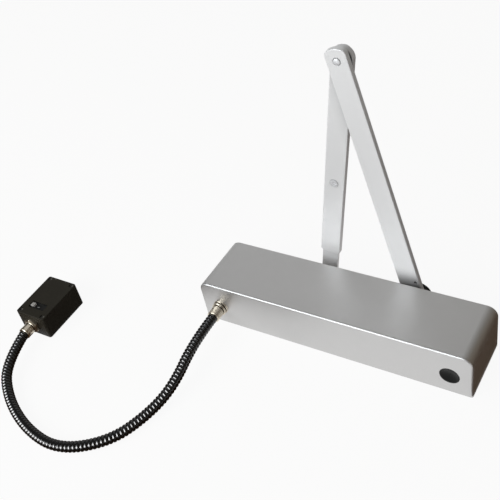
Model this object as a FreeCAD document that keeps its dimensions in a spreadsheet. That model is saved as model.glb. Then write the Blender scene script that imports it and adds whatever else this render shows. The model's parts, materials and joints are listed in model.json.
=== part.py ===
import FreeCAD, Part
import math
import os
import re

import Sketcher
from FreeCAD import Placement, Rotation, Vector

# Electromagnetic door closer, lying on its mounting face.
# X runs along the cover, Y along the spindle towards the arms, Z away from the door face.
# Every size is in millimetres, every lean in degrees.

sizes = {
    "running_clearance": 0.05,
    # cover and mounting plate
    "cover_length": 300,
    "cover_width": 72,
    "cover_height": 52,
    "cover_wall": 1.6,
    "cover_end_radius": 11,
    "cover_edge_radius": 2.2,
    "plate_end_gap": 4,
    "plate_thick": 3,
    "door_hole_inset": 14,
    "door_hole_side": 24,
    "door_hole_radius": 3.25,
    "tab_inset": 58,
    "tab_length": 16,
    "tab_height": 15,
    "tab_thick": 4,
    "cover_screw_height": 9,
    "cover_screw_radius": 2,
    "cover_screw_head_radius": 3.5,
    "cover_screw_head_height": 2.2,
    # hydraulic body
    "spindle_inset": 88,
    "body_right_reach": 66,
    "block_side": 44,
    "block_round": 6,
    "foot_inset": 15,
    "foot_length": 20,
    "foot_half": 32.4,
    "foot_thick": 9,
    "foot_screw_side": 27.2,
    "foot_screw_radius": 3,
    "foot_screw_head_radius": 5,
    "foot_screw_head_height": 6,
    "foot_screw_short": 0.5,
    "bore_radius": 18,
    "cap_radius": 19,
    "cap_depth": 14,
    "cap_socket_half": 5,
    "cap_socket_depth": 6,
    "boss_radius": 15,
    "near_boss_reach": 33,
    "bush_radius": 11,
    "bush_start": 18.5,
    "bush_length": 11,
    "seal_length": 3.5,
    "retainer_gap": 0.4,
    "shaft_end_gap": 0.2,
    "valve_offset": 17,
    "valve_radius": 2.5,
    "valve_depth": 20,
    "valve_head_length": 3,
    "valve_slot_width": 1,
    # spindle, pinion and rack
    "journal_radius": 8,
    "square_side": 11,
    "square_short": 0.2,
    "pinion_module": 1.5,
    "pinion_teeth": 12,
    "pinion_half_width": 12,
    "pressure_angle": 20,
    "tooth_addendum": 1.0,
    "tooth_dedendum": 1.3,
    "tooth_backlash": 0.1,
    "rack_first_gap": 2,
    "rack_gaps": 10,
    "piston_left": 24,
    "piston_right": 50,
    "slot_left": 11.5,
    "slot_right": 37,
    "slot_floor": 11.2,
    "spring_wire": 2.1,
    "spring_mean_radius": 13,
    "spring_turns": 9,
    "spring_sides": 8,
    # electromagnet and its valve
    "magnet_end_gap": 10.4,
    "valve_block_length": 24,
    "valve_block_half": 19,
    "block_screw_side": 15.3,
    "block_screw_radius": 2,
    "block_screw_head_radius": 3.3,
    "block_screw_head_height": 4,
    "block_screw_grip": 10,
    "frame_length": 34,
    "frame_half_height": 15.5,
    "frame_half_width": 11,
    "frame_wall": 2.5,
    "bobbin_flange_radius": 12.5,
    "bobbin_flange": 1.5,
    "bobbin_tube_radius": 7,
    "winding_radius": 11.8,
    "plunger_radius": 5,
    "plunger_tail": 27,
    "plunger_shoulder": 1.5,
    "needle_radius": 2,
    "needle_reach": 14,
    "needle_room": 2,
    # arms
    "arm_gap": 6,
    "arm_thick": 6,
    "arm_length": 272,
    "arm_lean": 12.15,
    "arm_base_half": 11.2,
    "arm_tip_half": 10.5,
    "arm_base_radius": 14,
    "arm_tip_shoulder": 9.1,
    "arm_tip_peak": 12.95,
    "arm_tip_crown": 16.5,
    "arm_tip_corner": 5.5,
    "arm_blend_radius": 16,
    "arm_edge_round": 0.9,
    "index_hole_radius": 1.8,
    "index_hole_depth": 2,
    "index_hole_side": 7.2,
    "index_hole_up": 24.6,
    "arm_screw_radius": 3,
    "arm_screw_grip": 14,
    "arm_screw_short": 1,
    "arm_screw_head_radius": 5,
    "arm_screw_head_height": 4,
    "arm_washer_radius": 10,
    "arm_washer_thick": 1.6,
    "arm_cap_radius": 14,
    "arm_cap_height": 8,
    "arm_cap_roof": 1.5,
    "arm_cap_round": 2,
    "elbow_pin_radius": 3.4,
    "elbow_pin_dome": 1.2,
    "elbow_pin_round": 1.1,
    "elbow_head_radius": 7.5,
    "elbow_head_height": 2,
    "elbow_washer_radius": 8.4,
    "elbow_washer_thick": 3.45,
    "forearm_lean": 9.65,
    "sleeve_half": 10.8,
    "sleeve_thick": 6.6,
    "sleeve_end_drop": 2.3,
    "sleeve_bottom": 240,
    "sleeve_chamfer": 3,
    "sleeve_edge_round": 1.2,
    "bar_half": 8.8,
    "bar_thick": 3.6,
    "bar_play_side": 0.2,
    "bar_play_face": 0.15,
    "bar_top": 75,
    "bar_room_top": 48,
    "bar_slot_half": 2.8,
    "bar_slot_up": 63,
    "bar_slot_down": 28,
    "clamp_drop": 143,
    "clamp_radius": 2.5,
    "clamp_head_radius": 2.9,
    "clamp_head_height": 1,
    "clamp_nut_radius": 4.6,
    "clamp_nut_height": 3.2,
    # foot bracket
    "foot_pivot_height": 14,
    "foot_plate_half": 32,
    "foot_plate_side": 15,
    "foot_plate_thick": 4,
    "foot_plate_round": 5,
    "lug_gap": 0.3,
    "lug_thick": 4,
    "lug_half": 10,
    "lug_radius": 9,
    "foot_pin_radius": 4,
    "foot_pin_head_radius": 5.5,
    "foot_pin_head_height": 1.5,
    "frame_hole_reach": 24,
    "frame_hole_side": 9,
    "frame_hole_radius": 2.75,
    # cable entries and conduit
    "entry_inset": 22.5,
    "entry_height": 22.5,
    "spare_entry_radius": 10,
    "plug_recess": 0.4,
    "plug_rim": 1.2,
    "plug_dish": 1.8,
    "plug_depth": 4,
    "plug_flange_radius": 12,
    "plug_flange": 1.5,
    "gland_thread_radius": 6,
    "gland_thread_length": 7,
    "gland_flange_radius": 8.5,
    "gland_flange": 3,
    "gland_ring_radius": 7.6,
    "gland_ring": 2.5,
    "gland_barrel_radius": 6.8,
    "gland_length": 17,
    "gland_bore_radius": 4,
    "gland_nut_radius": 9.5,
    "gland_nut_height": 3.5,
    "conduit_radius": 5.75,
    "conduit_bore_radius": 4,
    "conduit_straight": 39,
    # switch box
    "box_x": -325.5,
    "box_y": -101,
    "box_wide": 41,
    "box_long": 60,
    "box_base_height": 23,
    "box_lid_height": 6.5,
    "box_wall": 2,
    "box_corner_round": 2.5,
    "box_lid_round": 0.8,
    "box_lid_roof": 2.5,
    "box_gland_height": 14.75,
    "box_gland_length": 16,
    "box_gland_hex": 4,
    "pillar_side": 16.5,
    "pillar_end": 26,
    "pillar_half": 4,
    "lid_screw_radius": 1.5,
    "lid_screw_depth": 13,
    "lid_screw_head_radius": 2.7,
    "lid_screw_head_height": 1.8,
    "lid_screw_sunk": 0.2,
    "lid_screw_play": 0.2,
    "standoff_side": 10,
    "standoff_end": 15,
    "standoff_radius": 2,
    "standoff_height": 8,
    "board_half_wide": 12.2,
    "board_half_long": 19,
    "board_thick": 1.6,
    "board_shift": 5,
    "terminal_half_wide": 11,
    "terminal_half_long": 5,
    "terminal_height": 9,
    "terminal_shift": 14,
    "switch_shift": -14,
    "switch_half_wide": 11,
    "switch_half_long": 5,
    "switch_height": 6,
    "switch_recess": 1.5,
    "knob_half_wide": 1.9,
    "knob_half_long": 2.4,
    "knob_play": 0.2,
    "knob_park": -7.4,
    "knob_travel": 10,
    "knob_height": 1.9,
    "knob_foot_height": 1.2,
    "knob_foot_half": 2.6,
}

# route of the conduit on the table, as corners between its straight start and the gland on the box
route_between = [
    (-121.3, -141.9, 13.5),
    (-129.8, -178.0, 6.4),
    (-147.0, -220.1, 6.1),
    (-190.1, -249.5, 6.1),
    (-238.9, -243.8, 6.1),
    (-286.0, -221.0, 6.6),
    (-318.0, -188.5, 11.5),
]

# a cut runs this far past each face that it opens
over_cut = 1
# two places closer than this are the same place
tiny = 0.01
# share of the shorter run that a bend of the conduit takes up
bend_share = 0.45

# places that several pieces share, each worked out from the sizes
places = {
    "plate_length": "(cover_length - 2 * plate_end_gap)",
    "door_hole_reach": "(cover_length / 2 - door_hole_inset)",
    "tab_reach": "(cover_length / 2 - tab_inset)",
    "entry_reach": "(cover_length / 2 - entry_inset)",
    "inner_half": "(cover_width / 2 - cover_wall)",
    "spindle_x": "(cover_length / 2 - spindle_inset)",
    "spindle_z": "(plate_thick + block_side / 2)",
    "magnet_room": "(magnet_end_gap + cover_wall + frame_length + valve_block_length)",
    "magnet_x": "(magnet_room - cover_length / 2)",
    "body_left_reach": "(spindle_x - magnet_x)",
    "tooth_pitch": "(pi * pinion_module)",
    "pitch_radius": "(pinion_module * pinion_teeth / 2)",
    "arm_y": "(cover_width / 2 + arm_gap)",
    "elbow_x": "(spindle_x - arm_length * sin(arm_lean))",
    "elbow_z": "(spindle_z + arm_length * cos(arm_lean))",
    "forearm_y": "(arm_y + arm_thick + elbow_washer_thick + running_clearance)",
    "forearm_long": "((elbow_z - foot_pivot_height) / cos(forearm_lean))",
    "bar_start": "(sleeve_thick / 2 - bar_thick / 2)",
    "bar_end": "(sleeve_thick / 2 + bar_thick / 2)",
    "foot_x": "(elbow_x - forearm_long * sin(forearm_lean))",
    "foot_y": "(forearm_y + sleeve_thick / 2)",
}

doc = FreeCAD.newDocument("DoorCloser")
sheet = doc.addObject("Spreadsheet::Sheet", "Sizes")
for row, (name, value) in enumerate(sizes.items(), 1):
    sheet.set("A%d" % row, name)
    sheet.set("B%d" % row, str(value))
    sheet.setAlias("B%d" % row, name)
doc.recompute()


def tied(text):
    """The text as an expression over the sheet."""
    return re.sub(r"[a-z][a-z_]+", lambda word: sheet_word(word.group()), text)


def sheet_word(word):
    """A size name with its sheet in front, a place written out, any other word as it is."""
    if word in places:
        return tied(places[word])
    return "Sizes." + word if word in sizes else word


def new_body(label):
    """An empty body whose label names its file."""
    body = doc.addObject("PartDesign::Body", label)
    body.Label = label
    return body


def origin_item(body, role):
    """One of the body's own origin planes or axes."""
    return [item for item in body.Origin.OriginFeatures if item.Role == role][0]


def place(item, x, y, z, lean=None):
    """Puts a piece at its place, leaning about the spindle direction if asked."""
    item.Placement = Placement(Vector(), Rotation(Vector(0, 1, 0), 0))
    for axis, text in zip("xyz", (x, y, z)):
        item.setExpression("Placement.Base." + axis, tied(text))
    if lean:
        item.setExpression("Placement.Rotation.Angle", tied(lean))


def sketch_in(body, plane, offset):
    """A sketch on one of the body's origin planes, moved along the plane's axis."""
    sketch = body.newObject("Sketcher::SketchObject", body.Name + "_sketch")
    sketch.AttachmentSupport = [(origin_item(body, plane + "_Plane"), "")]
    sketch.MapMode = "FlatFace"
    # the XZ plane looks along -Y
    sign = "-" if plane == "XZ" else ""
    sketch.setExpression("AttachmentOffset.Base.z", tied(sign + "(" + offset + ")"))
    return sketch


def hold(sketch, kind, item, point, text):
    """Ties one coordinate of a sketch point to a size."""
    index = sketch.addConstraint(Sketcher.Constraint(kind, -1, 1, item, point, 1.0))
    sketch.setExpression("Constraints[%d]" % index, tied(text))


def draw_circle(sketch, x, y, radius):
    """A circle with its centre and radius tied to sizes."""
    item = sketch.addGeometry(Part.Circle(Vector(1, 1, 0), Vector(0, 0, 1), 1), False)
    hold(sketch, "DistanceX", item, 3, x)
    hold(sketch, "DistanceY", item, 3, y)
    index = sketch.addConstraint(Sketcher.Constraint("Radius", item, 1.0))
    sketch.setExpression("Constraints[%d]" % index, tied(radius))


def draw_outline(sketch, points):
    """A closed outline of straight lines with each corner tied to sizes."""
    count = len(points)
    turn = [2 * math.pi * step / count for step in range(count)]
    guess = [Vector(math.cos(angle), math.sin(angle), 0) for angle in turn]
    items = []
    for step in range(count):
        line = Part.LineSegment(guess[step], guess[(step + 1) % count])
        items.append(sketch.addGeometry(line, False))
    for step in range(count):
        link = Sketcher.Constraint("Coincident", items[step], 2, items[(step + 1) % count], 1)
        sketch.addConstraint(link)
    for item, (x, y) in zip(items, points):
        hold(sketch, "DistanceX", item, 1, x)
        hold(sketch, "DistanceY", item, 1, y)


def circle(x, y, radius):
    """A loop for a sketch: a circle."""
    return ("circle", x, y, radius)


def rectangle(left, low, right, high):
    """A loop for a sketch: a rectangle."""
    return ("outline", [(left, low), (right, low), (right, high), (left, high)])


def outline(*points):
    """A loop for a sketch: any straight-sided outline."""
    return ("outline", list(points))


def feature(body, kind, plane, loops, start, end):
    """A pad or pocket of the loops between two places along the plane's axis."""
    sketch = sketch_in(body, plane, "((" + start + ") + (" + end + ")) / 2")
    for loop in loops:
        if loop[0] == "circle":
            draw_circle(sketch, *loop[1:])
        else:
            draw_outline(sketch, loop[1])
    item = body.newObject("PartDesign::" + kind, body.Name + "_" + kind.lower())
    item.Profile = sketch
    item.SideType = "Symmetric"
    item.setExpression("Length", tied("(" + end + ") - (" + start + ")"))
    doc.recompute()
    return item


def add(body, plane, loops, start, end):
    """Material between two places along the plane's axis."""
    return feature(body, "Pad", plane, loops, start, end)


def cut(body, plane, loops, start, end, opens="both"):
    """Material taken away between two places along the plane's axis, past each end that is open."""
    if opens in ("both", "start"):
        start = "(" + start + ") - %g" % over_cut
    if opens in ("both", "end"):
        end = "(" + end + ") + %g" % over_cut
    before = body.Shape.Volume
    item = feature(body, "Pocket", plane, loops, start, end)
    if body.Shape.Volume >= before:
        raise RuntimeError("nothing cut from " + body.Label)
    return item


def turned(body, axis, profile):
    """A turned piece from (radius, place along the axis) corners."""
    sketch = sketch_in(body, "XY", "0")
    if axis == "Y":
        draw_outline(sketch, profile)
    else:
        draw_outline(sketch, [(along, radius) for radius, along in profile])
    item = body.newObject("PartDesign::Revolution", body.Name + "_turned")
    item.Profile = sketch
    item.ReferenceAxis = (sketch, ["V_Axis" if axis == "Y" else "H_Axis"])
    item.Angle = 360
    doc.recompute()
    return item


def ring(body, axis, inner, outer, start, end):
    """A plain ring about the axis."""
    return turned(body, axis, [(inner, start), (outer, start), (outer, end), (inner, end)])


def round_edges(body, radius, wanted):
    """Rounds the edges whose middle passes the test."""
    names = []
    tip = body.Tip
    for index, edge in enumerate(tip.Shape.Edges, 1):
        middle = edge.valueAt((edge.FirstParameter + edge.LastParameter) / 2)
        if wanted(edge, middle):
            names.append("Edge%d" % index)
    item = body.newObject("PartDesign::Fillet", body.Name + "_round")
    item.Base = (tip, names)
    item.setExpression("Radius", tied(radius))
    doc.recompute()
    return item


def along(edge, direction):
    """Whether a straight edge runs in the direction."""
    if edge.Curve.TypeId != "Part::GeomLine":
        return False
    return abs(abs(edge.Curve.Direction.dot(direction)) - 1) < 1e-6


def rod(name, radius, length, direction, x, y, z):
    """A round rod from a place, in a direction."""
    item = doc.addObject("Part::Cylinder", name)
    item.setExpression("Radius", tied(radius))
    item.setExpression("Height", tied(length))
    item.Placement = Placement(Vector(), Rotation(Vector(0, 0, 1), direction))
    for axis, text in zip("xyz", (x, y, z)):
        item.setExpression("Placement.Base." + axis, tied(text))
    return item


def screws(label, direction, head_radius, head_height, radius, length, seats):
    """Like screws in one node: each seat is where the underside of the head bears."""
    pieces = []
    for x, y, z in seats:
        head = []
        for text, step in zip((x, y, z), (direction.x, direction.y, direction.z)):
            head.append("(" + text + ") - (" + head_height + ") * (%d)" % round(step))
        pieces.append(rod(label + "_head", head_radius, head_height, direction, *head))
        shank = []
        for text, step in zip((x, y, z), (direction.x, direction.y, direction.z)):
            shank.append("(" + text + ") - (" + head_height + ") / 2 * (%d)" % round(step))
        long = "(" + length + ") + (" + head_height + ") / 2"
        pieces.append(rod(label + "_shank", radius, long, direction, *shank))
    node = doc.addObject("Part::MultiFuse", label)
    node.Label = label
    node.Shapes = pieces
    return node


X = Vector(1, 0, 0)
Y = Vector(0, 1, 0)
Z = Vector(0, 0, 1)
nodes = []

# cover: a deep shell, open towards the door, with long rounds at both ends
cover = new_body("cover")
half_cover = "cover_length / 2"
add(
    cover,
    "XZ",
    [rectangle("-" + half_cover, "0", half_cover, "cover_height")],
    "-cover_width / 2",
    "cover_width / 2",
)
top = sheet.cover_height
side = sheet.cover_width / 2
round_edges(cover, "cover_end_radius", lambda edge, at: along(edge, Y) and at.z > top / 2)
round_edges(cover, "cover_edge_radius", lambda edge, at: abs(abs(at.y) - side) < tiny and at.z > tiny)
rounded = cover.Tip
open_face = [
    "Face%d" % index
    for index, face in enumerate(rounded.Shape.Faces, 1)
    if face.BoundBox.ZMax < tiny
]
shell = cover.newObject("PartDesign::Thickness", "cover_shell")
shell.Base = (rounded, open_face)
shell.setExpression("Value", tied("cover_wall"))
shell.Reversed = True
doc.recompute()
near_out = "-cover_width / 2"
near_in = "-inner_half"
far_out = "cover_width / 2"
cut(cover, "XZ", [circle("entry_reach", "entry_height", "spare_entry_radius")], near_out, near_in)
cut(cover, "XZ", [circle("-entry_reach", "entry_height", "gland_thread_radius")], near_out, near_in)
cut(cover, "XZ", [circle("spindle_x", "spindle_z", "boss_radius + retainer_gap")], "inner_half", far_out)
cut(
    cover,
    "XZ",
    [
        circle("-tab_reach", "cover_screw_height", "cover_screw_radius"),
        circle("tab_reach", "cover_screw_height", "cover_screw_radius"),
    ],
    "inner_half",
    far_out,
)
nodes.append(cover)

# mounting plate with two upright tabs for the cover screws
plate = new_body("mounting_plate")
half_plate = "plate_length / 2"
add(
    plate,
    "XY",
    [rectangle("-" + half_plate, "-inner_half", half_plate, "inner_half")],
    "0",
    "plate_thick",
)
tab_loops = []
for way in ("-", ""):
    middle = way + "tab_reach"
    tab_loops.append(rectangle(middle + " - tab_length / 2", "0", middle + " + tab_length / 2", "tab_height"))
add(plate, "XZ", tab_loops, "inner_half - tab_thick", "inner_half")
cut(
    plate,
    "XZ",
    [
        circle("-tab_reach", "cover_screw_height", "cover_screw_radius"),
        circle("tab_reach", "cover_screw_height", "cover_screw_radius"),
    ],
    "inner_half - tab_thick",
    "inner_half",
)
left_foot = "(spindle_x - body_left_reach + foot_inset)"
right_foot = "(spindle_x + body_right_reach - foot_inset)"
plate_holes = []
for way in ("-", ""):
    for turn in ("-", ""):
        door_at = (way + "door_hole_reach", turn + "door_hole_side")
        plate_holes.append(circle(door_at[0], door_at[1], "door_hole_radius"))
for middle in (left_foot, right_foot):
    for turn in ("-", ""):
        plate_holes.append(circle(middle, turn + "foot_screw_side", "foot_screw_radius"))
cut(plate, "XY", plate_holes, "0", "plate_thick")
nodes.append(plate)

nodes.append(
    screws(
        "cover_screws",
        -Y,
        "cover_screw_head_radius",
        "cover_screw_head_height",
        "cover_screw_radius",
        "cover_wall + tab_thick",
        [
            ("-tab_reach", "cover_width / 2", "cover_screw_height"),
            ("tab_reach", "cover_width / 2", "cover_screw_height"),
        ],
    )
)

# hydraulic body: block with a cylinder along X, spindle bosses along Y and two feet
block = new_body("hydraulic_body")
half_block = "block_side / 2"
add(
    block,
    "YZ",
    [rectangle("-" + half_block, "-" + half_block, half_block, half_block)],
    "-body_left_reach",
    "body_right_reach",
)
round_edges(block, "block_round", lambda edge, at: along(edge, X) and at.z > 0)
for middle in ("(foot_inset - body_left_reach)", "(body_right_reach - foot_inset)"):
    add(
        block,
        "XY",
        [
            rectangle(
                middle + " - foot_length / 2",
                "-foot_half",
                middle + " + foot_length / 2",
                "foot_half",
            )
        ],
        "-" + half_block,
        "foot_thick - " + half_block,
    )
add(block, "XZ", [circle("0", "0", "boss_radius")], "-near_boss_reach", "cover_width / 2")
cut(block, "YZ", [circle("0", "0", "bore_radius")], "-body_left_reach", "body_right_reach")
cut(
    block,
    "YZ",
    [circle("0", "0", "cap_radius")],
    "-body_left_reach",
    "cap_depth - body_left_reach",
    "start",
)
cut(
    block,
    "YZ",
    [circle("0", "0", "cap_radius")],
    "body_right_reach - cap_depth",
    "body_right_reach",
    "end",
)
cut(
    block,
    "XZ",
    [circle("0", "0", "bush_radius")],
    "-bush_start - bush_length",
    "cover_width / 2",
    "end",
)
cut(
    block,
    "YZ",
    [
        circle("-valve_offset", "valve_offset", "valve_radius + running_clearance"),
        circle("valve_offset", "valve_offset", "valve_radius + running_clearance"),
    ],
    "body_right_reach - valve_depth",
    "body_right_reach",
    "end",
)
foot_holes = []
for middle in ("(foot_inset - body_left_reach)", "(body_right_reach - foot_inset)"):
    for turn in ("-", ""):
        foot_holes.append(circle(middle, turn + "foot_screw_side", "foot_screw_radius"))
cut(block, "XY", foot_holes, "-" + half_block, "foot_thick - " + half_block)
block_screw_holes = []
for way in ("-", ""):
    for turn in ("-", ""):
        corner = (way + "block_screw_side", turn + "block_screw_side")
        block_screw_holes.append(circle(corner[0], corner[1], "block_screw_radius"))
cut(
    block,
    "YZ",
    block_screw_holes,
    "-body_left_reach",
    "block_screw_grip - body_left_reach",
    "start",
)
place(block, "spindle_x", "0", "spindle_z")
nodes.append(block)

foot_top = "plate_thick + foot_thick"
nodes.append(
    screws(
        "body_screws",
        -Z,
        "foot_screw_head_radius",
        "foot_screw_head_height",
        "foot_screw_radius",
        "foot_thick + plate_thick - foot_screw_short",
        [
            (left_foot, "-foot_screw_side", foot_top),
            (left_foot, "foot_screw_side", foot_top),
            (right_foot, "-foot_screw_side", foot_top),
            (right_foot, "foot_screw_side", foot_top),
        ],
    )
)

# end caps of the cylinder, each with a hexagon socket on its outer face
hexagon = [(0, 1.0), (1, 0.5), (1, -0.5), (0, -1.0), (-1, -0.5), (-1, 0.5)]
for label, start, end, outward in (
    ("spring_end_cap", "-body_left_reach", "cap_depth - body_left_reach", -1),
    ("oil_end_cap", "body_right_reach - cap_depth", "body_right_reach", 1),
):
    cap = new_body(label)
    add(cap, "YZ", [circle("0", "0", "cap_radius")], start, end)
    flats = []
    for across, corner in hexagon:
        flats.append(("cap_socket_half * %d" % across, "cap_socket_half * %.1f / cos(30)" % corner))
    if outward > 0:
        cut(cap, "YZ", [outline(*flats)], end + " - cap_socket_depth", end, "end")
    else:
        cut(cap, "YZ", [outline(*flats)], start, start + " + cap_socket_depth", "start")
    place(cap, "spindle_x", "0", "spindle_z")
    nodes.append(cap)

# piston with a rack cut into the roof of its slot
piston = new_body("piston")
piston_radius = "(bore_radius - running_clearance)"
add(piston, "YZ", [circle("0", "0", piston_radius)], "-piston_left", "piston_right")
rack_tip = "(pitch_radius - tooth_addendum)"
rack_root = "(pitch_radius + tooth_dedendum)"
cut(
    piston,
    "XZ",
    [rectangle("-slot_left", "-slot_floor", "slot_right", rack_tip)],
    "-bore_radius",
    "bore_radius",
)
gap_middle = "-rack_first_gap * tooth_pitch"
gap_half = "(tooth_pitch / 4 + tooth_backlash)"
gap_open = "(" + gap_half + " + tooth_addendum * tan(pressure_angle))"
gap_closed = "(" + gap_half + " - tooth_dedendum * tan(pressure_angle))"
gap = cut(
    piston,
    "XZ",
    [
        outline(
            (gap_middle + " - " + gap_open, rack_tip),
            (gap_middle + " + " + gap_open, rack_tip),
            (gap_middle + " + " + gap_closed, rack_root),
            (gap_middle + " - " + gap_closed, rack_root),
        )
    ],
    "-bore_radius",
    "bore_radius",
)
rack = piston.newObject("PartDesign::LinearPattern", "piston_rack")
rack.Originals = [gap]
rack.Direction = (origin_item(piston, "X_Axis"), [""])
rack.setExpression("Occurrences", tied("rack_gaps"))
rack.setExpression("Length", tied("tooth_pitch * (rack_gaps - 1)"))
piston.Tip = rack
doc.recompute()
place(piston, "spindle_x", "0", "spindle_z")
nodes.append(piston)

# main spring, between the spring end cap and the piston
spring = new_body("main_spring")
spring_sketch = sketch_in(spring, "XZ", "0")
wire_corners = []
for step in range(sheet.spring_sides):
    angle = "(360 * %d / spring_sides)" % step
    wire_corners.append(
        ("spring_mean_radius + spring_wire * cos(" + angle + ")", "spring_wire * sin(" + angle + ")")
    )
draw_outline(spring_sketch, wire_corners)
coil = spring.newObject("PartDesign::AdditiveHelix", "main_spring_coil")
coil.Profile = spring_sketch
coil.ReferenceAxis = (spring_sketch, ["V_Axis"])
coil.Mode = 2
spring_room = "(body_left_reach - cap_depth - piston_left)"
coil.setExpression("Height", tied(spring_room + " - 2 * spring_wire"))
coil.setExpression("Turns", tied("spring_turns"))
spring.Placement = Placement(Vector(), Rotation(Y, 90))
spring.setExpression(
    "Placement.Base.x",
    tied("spindle_x - body_left_reach + cap_depth + spring_wire"),
)
spring.setExpression("Placement.Base.z", tied("spindle_z"))
doc.recompute()
nodes.append(spring)

# pinion spindle: two journals, a toothed middle, a square end for the arm
spindle = new_body("pinion_spindle")
tip_radius = "(pitch_radius + tooth_addendum)"
shaft_near = "-(bush_start + bush_length - shaft_end_gap)"
turned(
    spindle,
    "Y",
    [
        ("0", shaft_near),
        ("journal_radius", shaft_near),
        ("journal_radius", "-pinion_half_width"),
        (tip_radius, "-pinion_half_width"),
        (tip_radius, "pinion_half_width"),
        ("journal_radius", "pinion_half_width"),
        ("journal_radius", "arm_y"),
        ("0", "arm_y"),
    ],
)
half_square = "square_side / 2"
add(
    spindle,
    "XZ",
    [rectangle("-" + half_square, "-" + half_square, half_square, half_square)],
    "pinion_half_width",
    "arm_y + arm_thick - square_short",
)
cut(
    spindle,
    "XZ",
    [circle("0", "0", "arm_screw_radius")],
    "arm_y + arm_thick - arm_screw_grip",
    "arm_y + arm_thick",
    "end",
)

# one space between two teeth, with involute flanks, repeated round the spindle
count = sheet.pinion_teeth
pitch_r = sheet.pinion_module * count / 2
base_r = pitch_r * math.cos(math.radians(sheet.pressure_angle))
tip_r = pitch_r + sheet.tooth_addendum
root_r = pitch_r - sheet.tooth_dedendum


def involute(radius):
    """Angle of the involute at a radius, from where it leaves the base circle."""
    if radius <= base_r:
        return 0.0
    roll = math.acos(base_r / radius)
    return math.tan(roll) - roll


half_tooth = math.pi / (2 * count) - sheet.tooth_backlash / pitch_r / 2
reach = tip_r + over_cut
steps = [root_r, base_r, (base_r + tip_r) / 2, tip_r, reach]
flank = []
for radius in steps:
    half = math.pi / count - half_tooth - involute(pitch_r) + involute(radius)
    flank.append((radius * math.sin(half), radius * math.cos(half)))
space = flank + [(-across, up) for across, up in reversed(flank)]
turn_back = math.pi / count
corners = []
for across, up in space:
    turned_across = across * math.cos(turn_back) + up * math.sin(turn_back)
    turned_up = up * math.cos(turn_back) - across * math.sin(turn_back)
    corners.append(("%.5f" % turned_across, "%.5f" % turned_up))
tooth_space = cut(spindle, "XZ", [outline(*corners)], "-pinion_half_width", "pinion_half_width", "neither")
teeth = spindle.newObject("PartDesign::PolarPattern", "spindle_teeth")
teeth.Originals = [tooth_space]
teeth.Axis = (origin_item(spindle, "Y_Axis"), [""])
teeth.Angle = 360
teeth.setExpression("Occurrences", tied("pinion_teeth"))
spindle.Tip = teeth
doc.recompute()
place(spindle, "spindle_x", "0", "spindle_z")
nodes.append(spindle)

# two bushes, the seal and its retainer
bush_bore = "(journal_radius + running_clearance)"
bush_end = "bush_start + bush_length"
for label, start, end in (
    ("near_bush", "-(" + bush_end + ")", "-bush_start"),
    ("far_bush", "bush_start", bush_end),
):
    bush = new_body(label)
    ring(bush, "Y", bush_bore, "bush_radius", start, end)
    place(bush, "spindle_x", "0", "spindle_z")
    nodes.append(bush)

seal = new_body("spindle_seal")
seal_end = bush_end + " + seal_length"
ring(seal, "Y", bush_bore, "bush_radius", bush_end, seal_end)
place(seal, "spindle_x", "0", "spindle_z")
nodes.append(seal)

retainer = new_body("seal_retainer")
ring(retainer, "Y", "journal_radius + retainer_gap", "bush_radius", seal_end, "cover_width / 2")
place(retainer, "spindle_x", "0", "spindle_z")
nodes.append(retainer)

# two speed valves in the corners of the oil end, each a slotted pin
for label, way in (("closing_valve", "-"), ("latch_valve", "")):
    valve = new_body(label)
    turned(
        valve,
        "X",
        [
            ("0", "-valve_depth"),
            ("valve_radius", "-valve_depth"),
            ("valve_radius", "valve_head_length"),
            ("0", "valve_head_length"),
        ],
    )
    cut(
        valve,
        "YZ",
        [rectangle("-valve_slot_width / 2", "-valve_radius", "valve_slot_width / 2", "valve_radius")],
        "valve_head_length / 2",
        "valve_head_length",
        "end",
    )
    place(valve, "spindle_x + body_right_reach", way + "valve_offset", "spindle_z + valve_offset")
    nodes.append(valve)

# valve block on the spring end, with the needle passage of the electromagnet
valve_block = new_body("valve_block")
add(
    valve_block,
    "YZ",
    [rectangle("-valve_block_half", "-valve_block_half", "valve_block_half", "valve_block_half")],
    "-valve_block_length",
    "0",
)
cut(
    valve_block,
    "YZ",
    [circle("0", "0", "needle_radius + running_clearance")],
    "-valve_block_length",
    "needle_reach - valve_block_length + needle_room",
    "start",
)
cut(valve_block, "YZ", block_screw_holes, "-valve_block_length", "0")
place(valve_block, "magnet_x", "0", "spindle_z")
nodes.append(valve_block)

block_screw_places = []
for way in ("-", ""):
    for turn in ("-", ""):
        across = way + "block_screw_side"
        up = "spindle_z + (" + turn + "block_screw_side)"
        block_screw_places.append(("magnet_x - valve_block_length", across, up))
nodes.append(
    screws(
        "valve_block_screws",
        X,
        "block_screw_head_radius",
        "block_screw_head_height",
        "block_screw_radius",
        "valve_block_length + block_screw_grip",
        block_screw_places,
    )
)

# electromagnet: steel frame, bobbin, winding and plunger, all on the cylinder axis
frame_x = "(magnet_x - valve_block_length)"
magnet_frame = new_body("magnet_frame")
add(
    magnet_frame,
    "XZ",
    [
        rectangle("-frame_length", "-frame_half_height", "0", "frame_half_height"),
        rectangle(
            "frame_wall - frame_length",
            "frame_wall - frame_half_height",
            "-frame_wall",
            "frame_half_height - frame_wall",
        ),
    ],
    "-frame_half_width",
    "frame_half_width",
)
cut(
    magnet_frame,
    "YZ",
    [circle("0", "0", "plunger_radius + retainer_gap")],
    "-frame_wall",
    "0",
)
place(magnet_frame, frame_x, "0", "spindle_z")
nodes.append(magnet_frame)

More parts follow.
